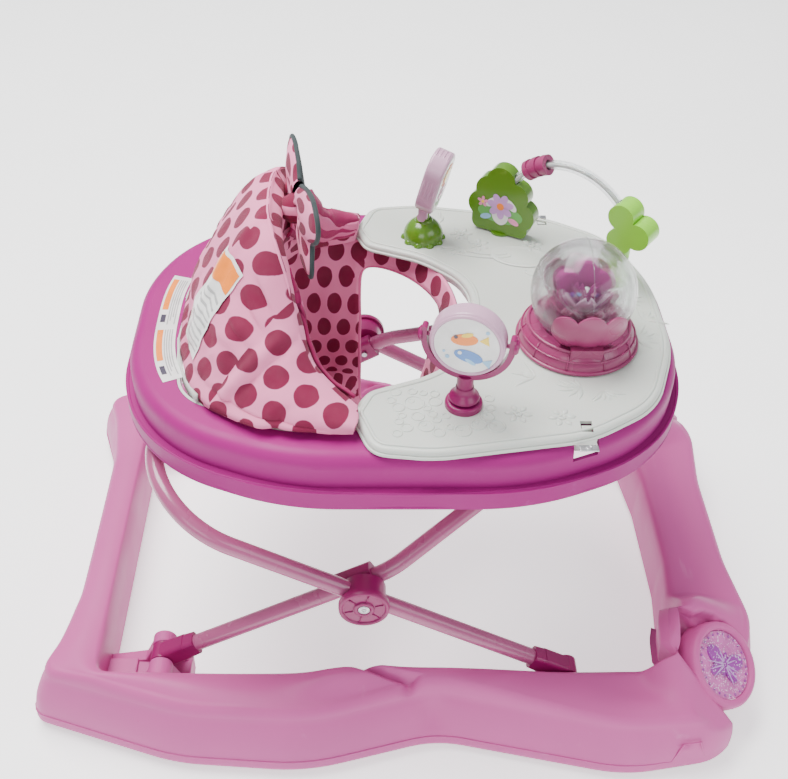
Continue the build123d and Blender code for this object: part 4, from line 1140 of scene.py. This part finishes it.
# ------------------------------------------------------------------ floor, light and camera
def stage_floor():
    size = 6000
    floor = add_mesh("floor", [(-size, -size, 0), (size, -size, 0), (size, size, 0), (-size, size, 0)],
                     [(0, 1, 2, 3)], pale, None, smooth=False)
    floor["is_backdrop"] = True


s = Shader("pale_floor")
tone = s.mix(s.ramp(s.noise(1.6, 4.0), 0.25, 0.75), (0.93, 0.93, 0.93, 1), (0.96, 0.96, 0.96, 1))
s.bump(s.noise(300.0), 0.03, 0.0005)
pale = s.set(Base_Color=tone, Emission_Color=tone, Emission_Strength=1.1,
             Roughness=s.ramp(s.noise(8.0), 0.2, 0.8, 0.55, 0.7))
stage_floor()

world = bpy.data.worlds.new("studio")
world.use_nodes = True
world.node_tree.nodes["Background"].inputs[0].default_value = (0.93, 0.95, 1.0, 1)
world.node_tree.nodes["Background"].inputs[1].default_value = 0.5
bpy.context.scene.world = world


def area_light(name, place, target, size, power, tint):
    data = bpy.data.lights.new(name, "AREA")
    data.shape, data.size, data.size_y = "RECTANGLE", size, size * 0.7
    data.energy, data.color = power, tint
    lamp = bpy.data.objects.new(name, data)
    lamp.location = place
    lamp.rotation_mode = "QUATERNION"
    lamp.rotation_quaternion = (Vector(target) - Vector(place)).to_track_quat("-Z", "Y")
    bpy.context.scene.collection.objects.link(lamp)


area_light("key", (-0.7, 0.5, 2.5), (0, 0, 0.2), 1.9, 135, (1.0, 0.985, 0.97))
area_light("fill", (1.7, -1.3, 1.5), (0, 0, 0.25), 1.6, 16, (0.97, 0.98, 1.0))
area_light("front", (-0.5, -1.9, 1.3), (0, 0, 0.2), 1.2, 10, (1.0, 0.98, 0.98))

yaw, pitch, roll = -0.036, radians(40.64), 0.026
forward = Vector((-sin(yaw) * cos(pitch), cos(yaw) * cos(pitch), -sin(pitch)))
right = Vector((cos(yaw), sin(yaw), 0))
up = right.cross(forward)
cam_x = right * cos(roll) + up * sin(roll)
cam_y = up * cos(roll) - right * sin(roll)
camera = bpy.data.objects.new("camera", bpy.data.cameras.new("camera"))
camera.data.lens, camera.data.sensor_width = 50.93, 36.0
camera.data.clip_start, camera.data.clip_end = 0.05, 50.0
turn = Matrix((cam_x, cam_y, -forward)).transposed().to_4x4()
camera.matrix_world = Matrix.Translation((-0.0369, -0.8304, 0.9698)) @ turn
bpy.context.scene.collection.objects.link(camera)
bpy.context.scene.camera = camera

bpy.context.view_layer.update()
low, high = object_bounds()
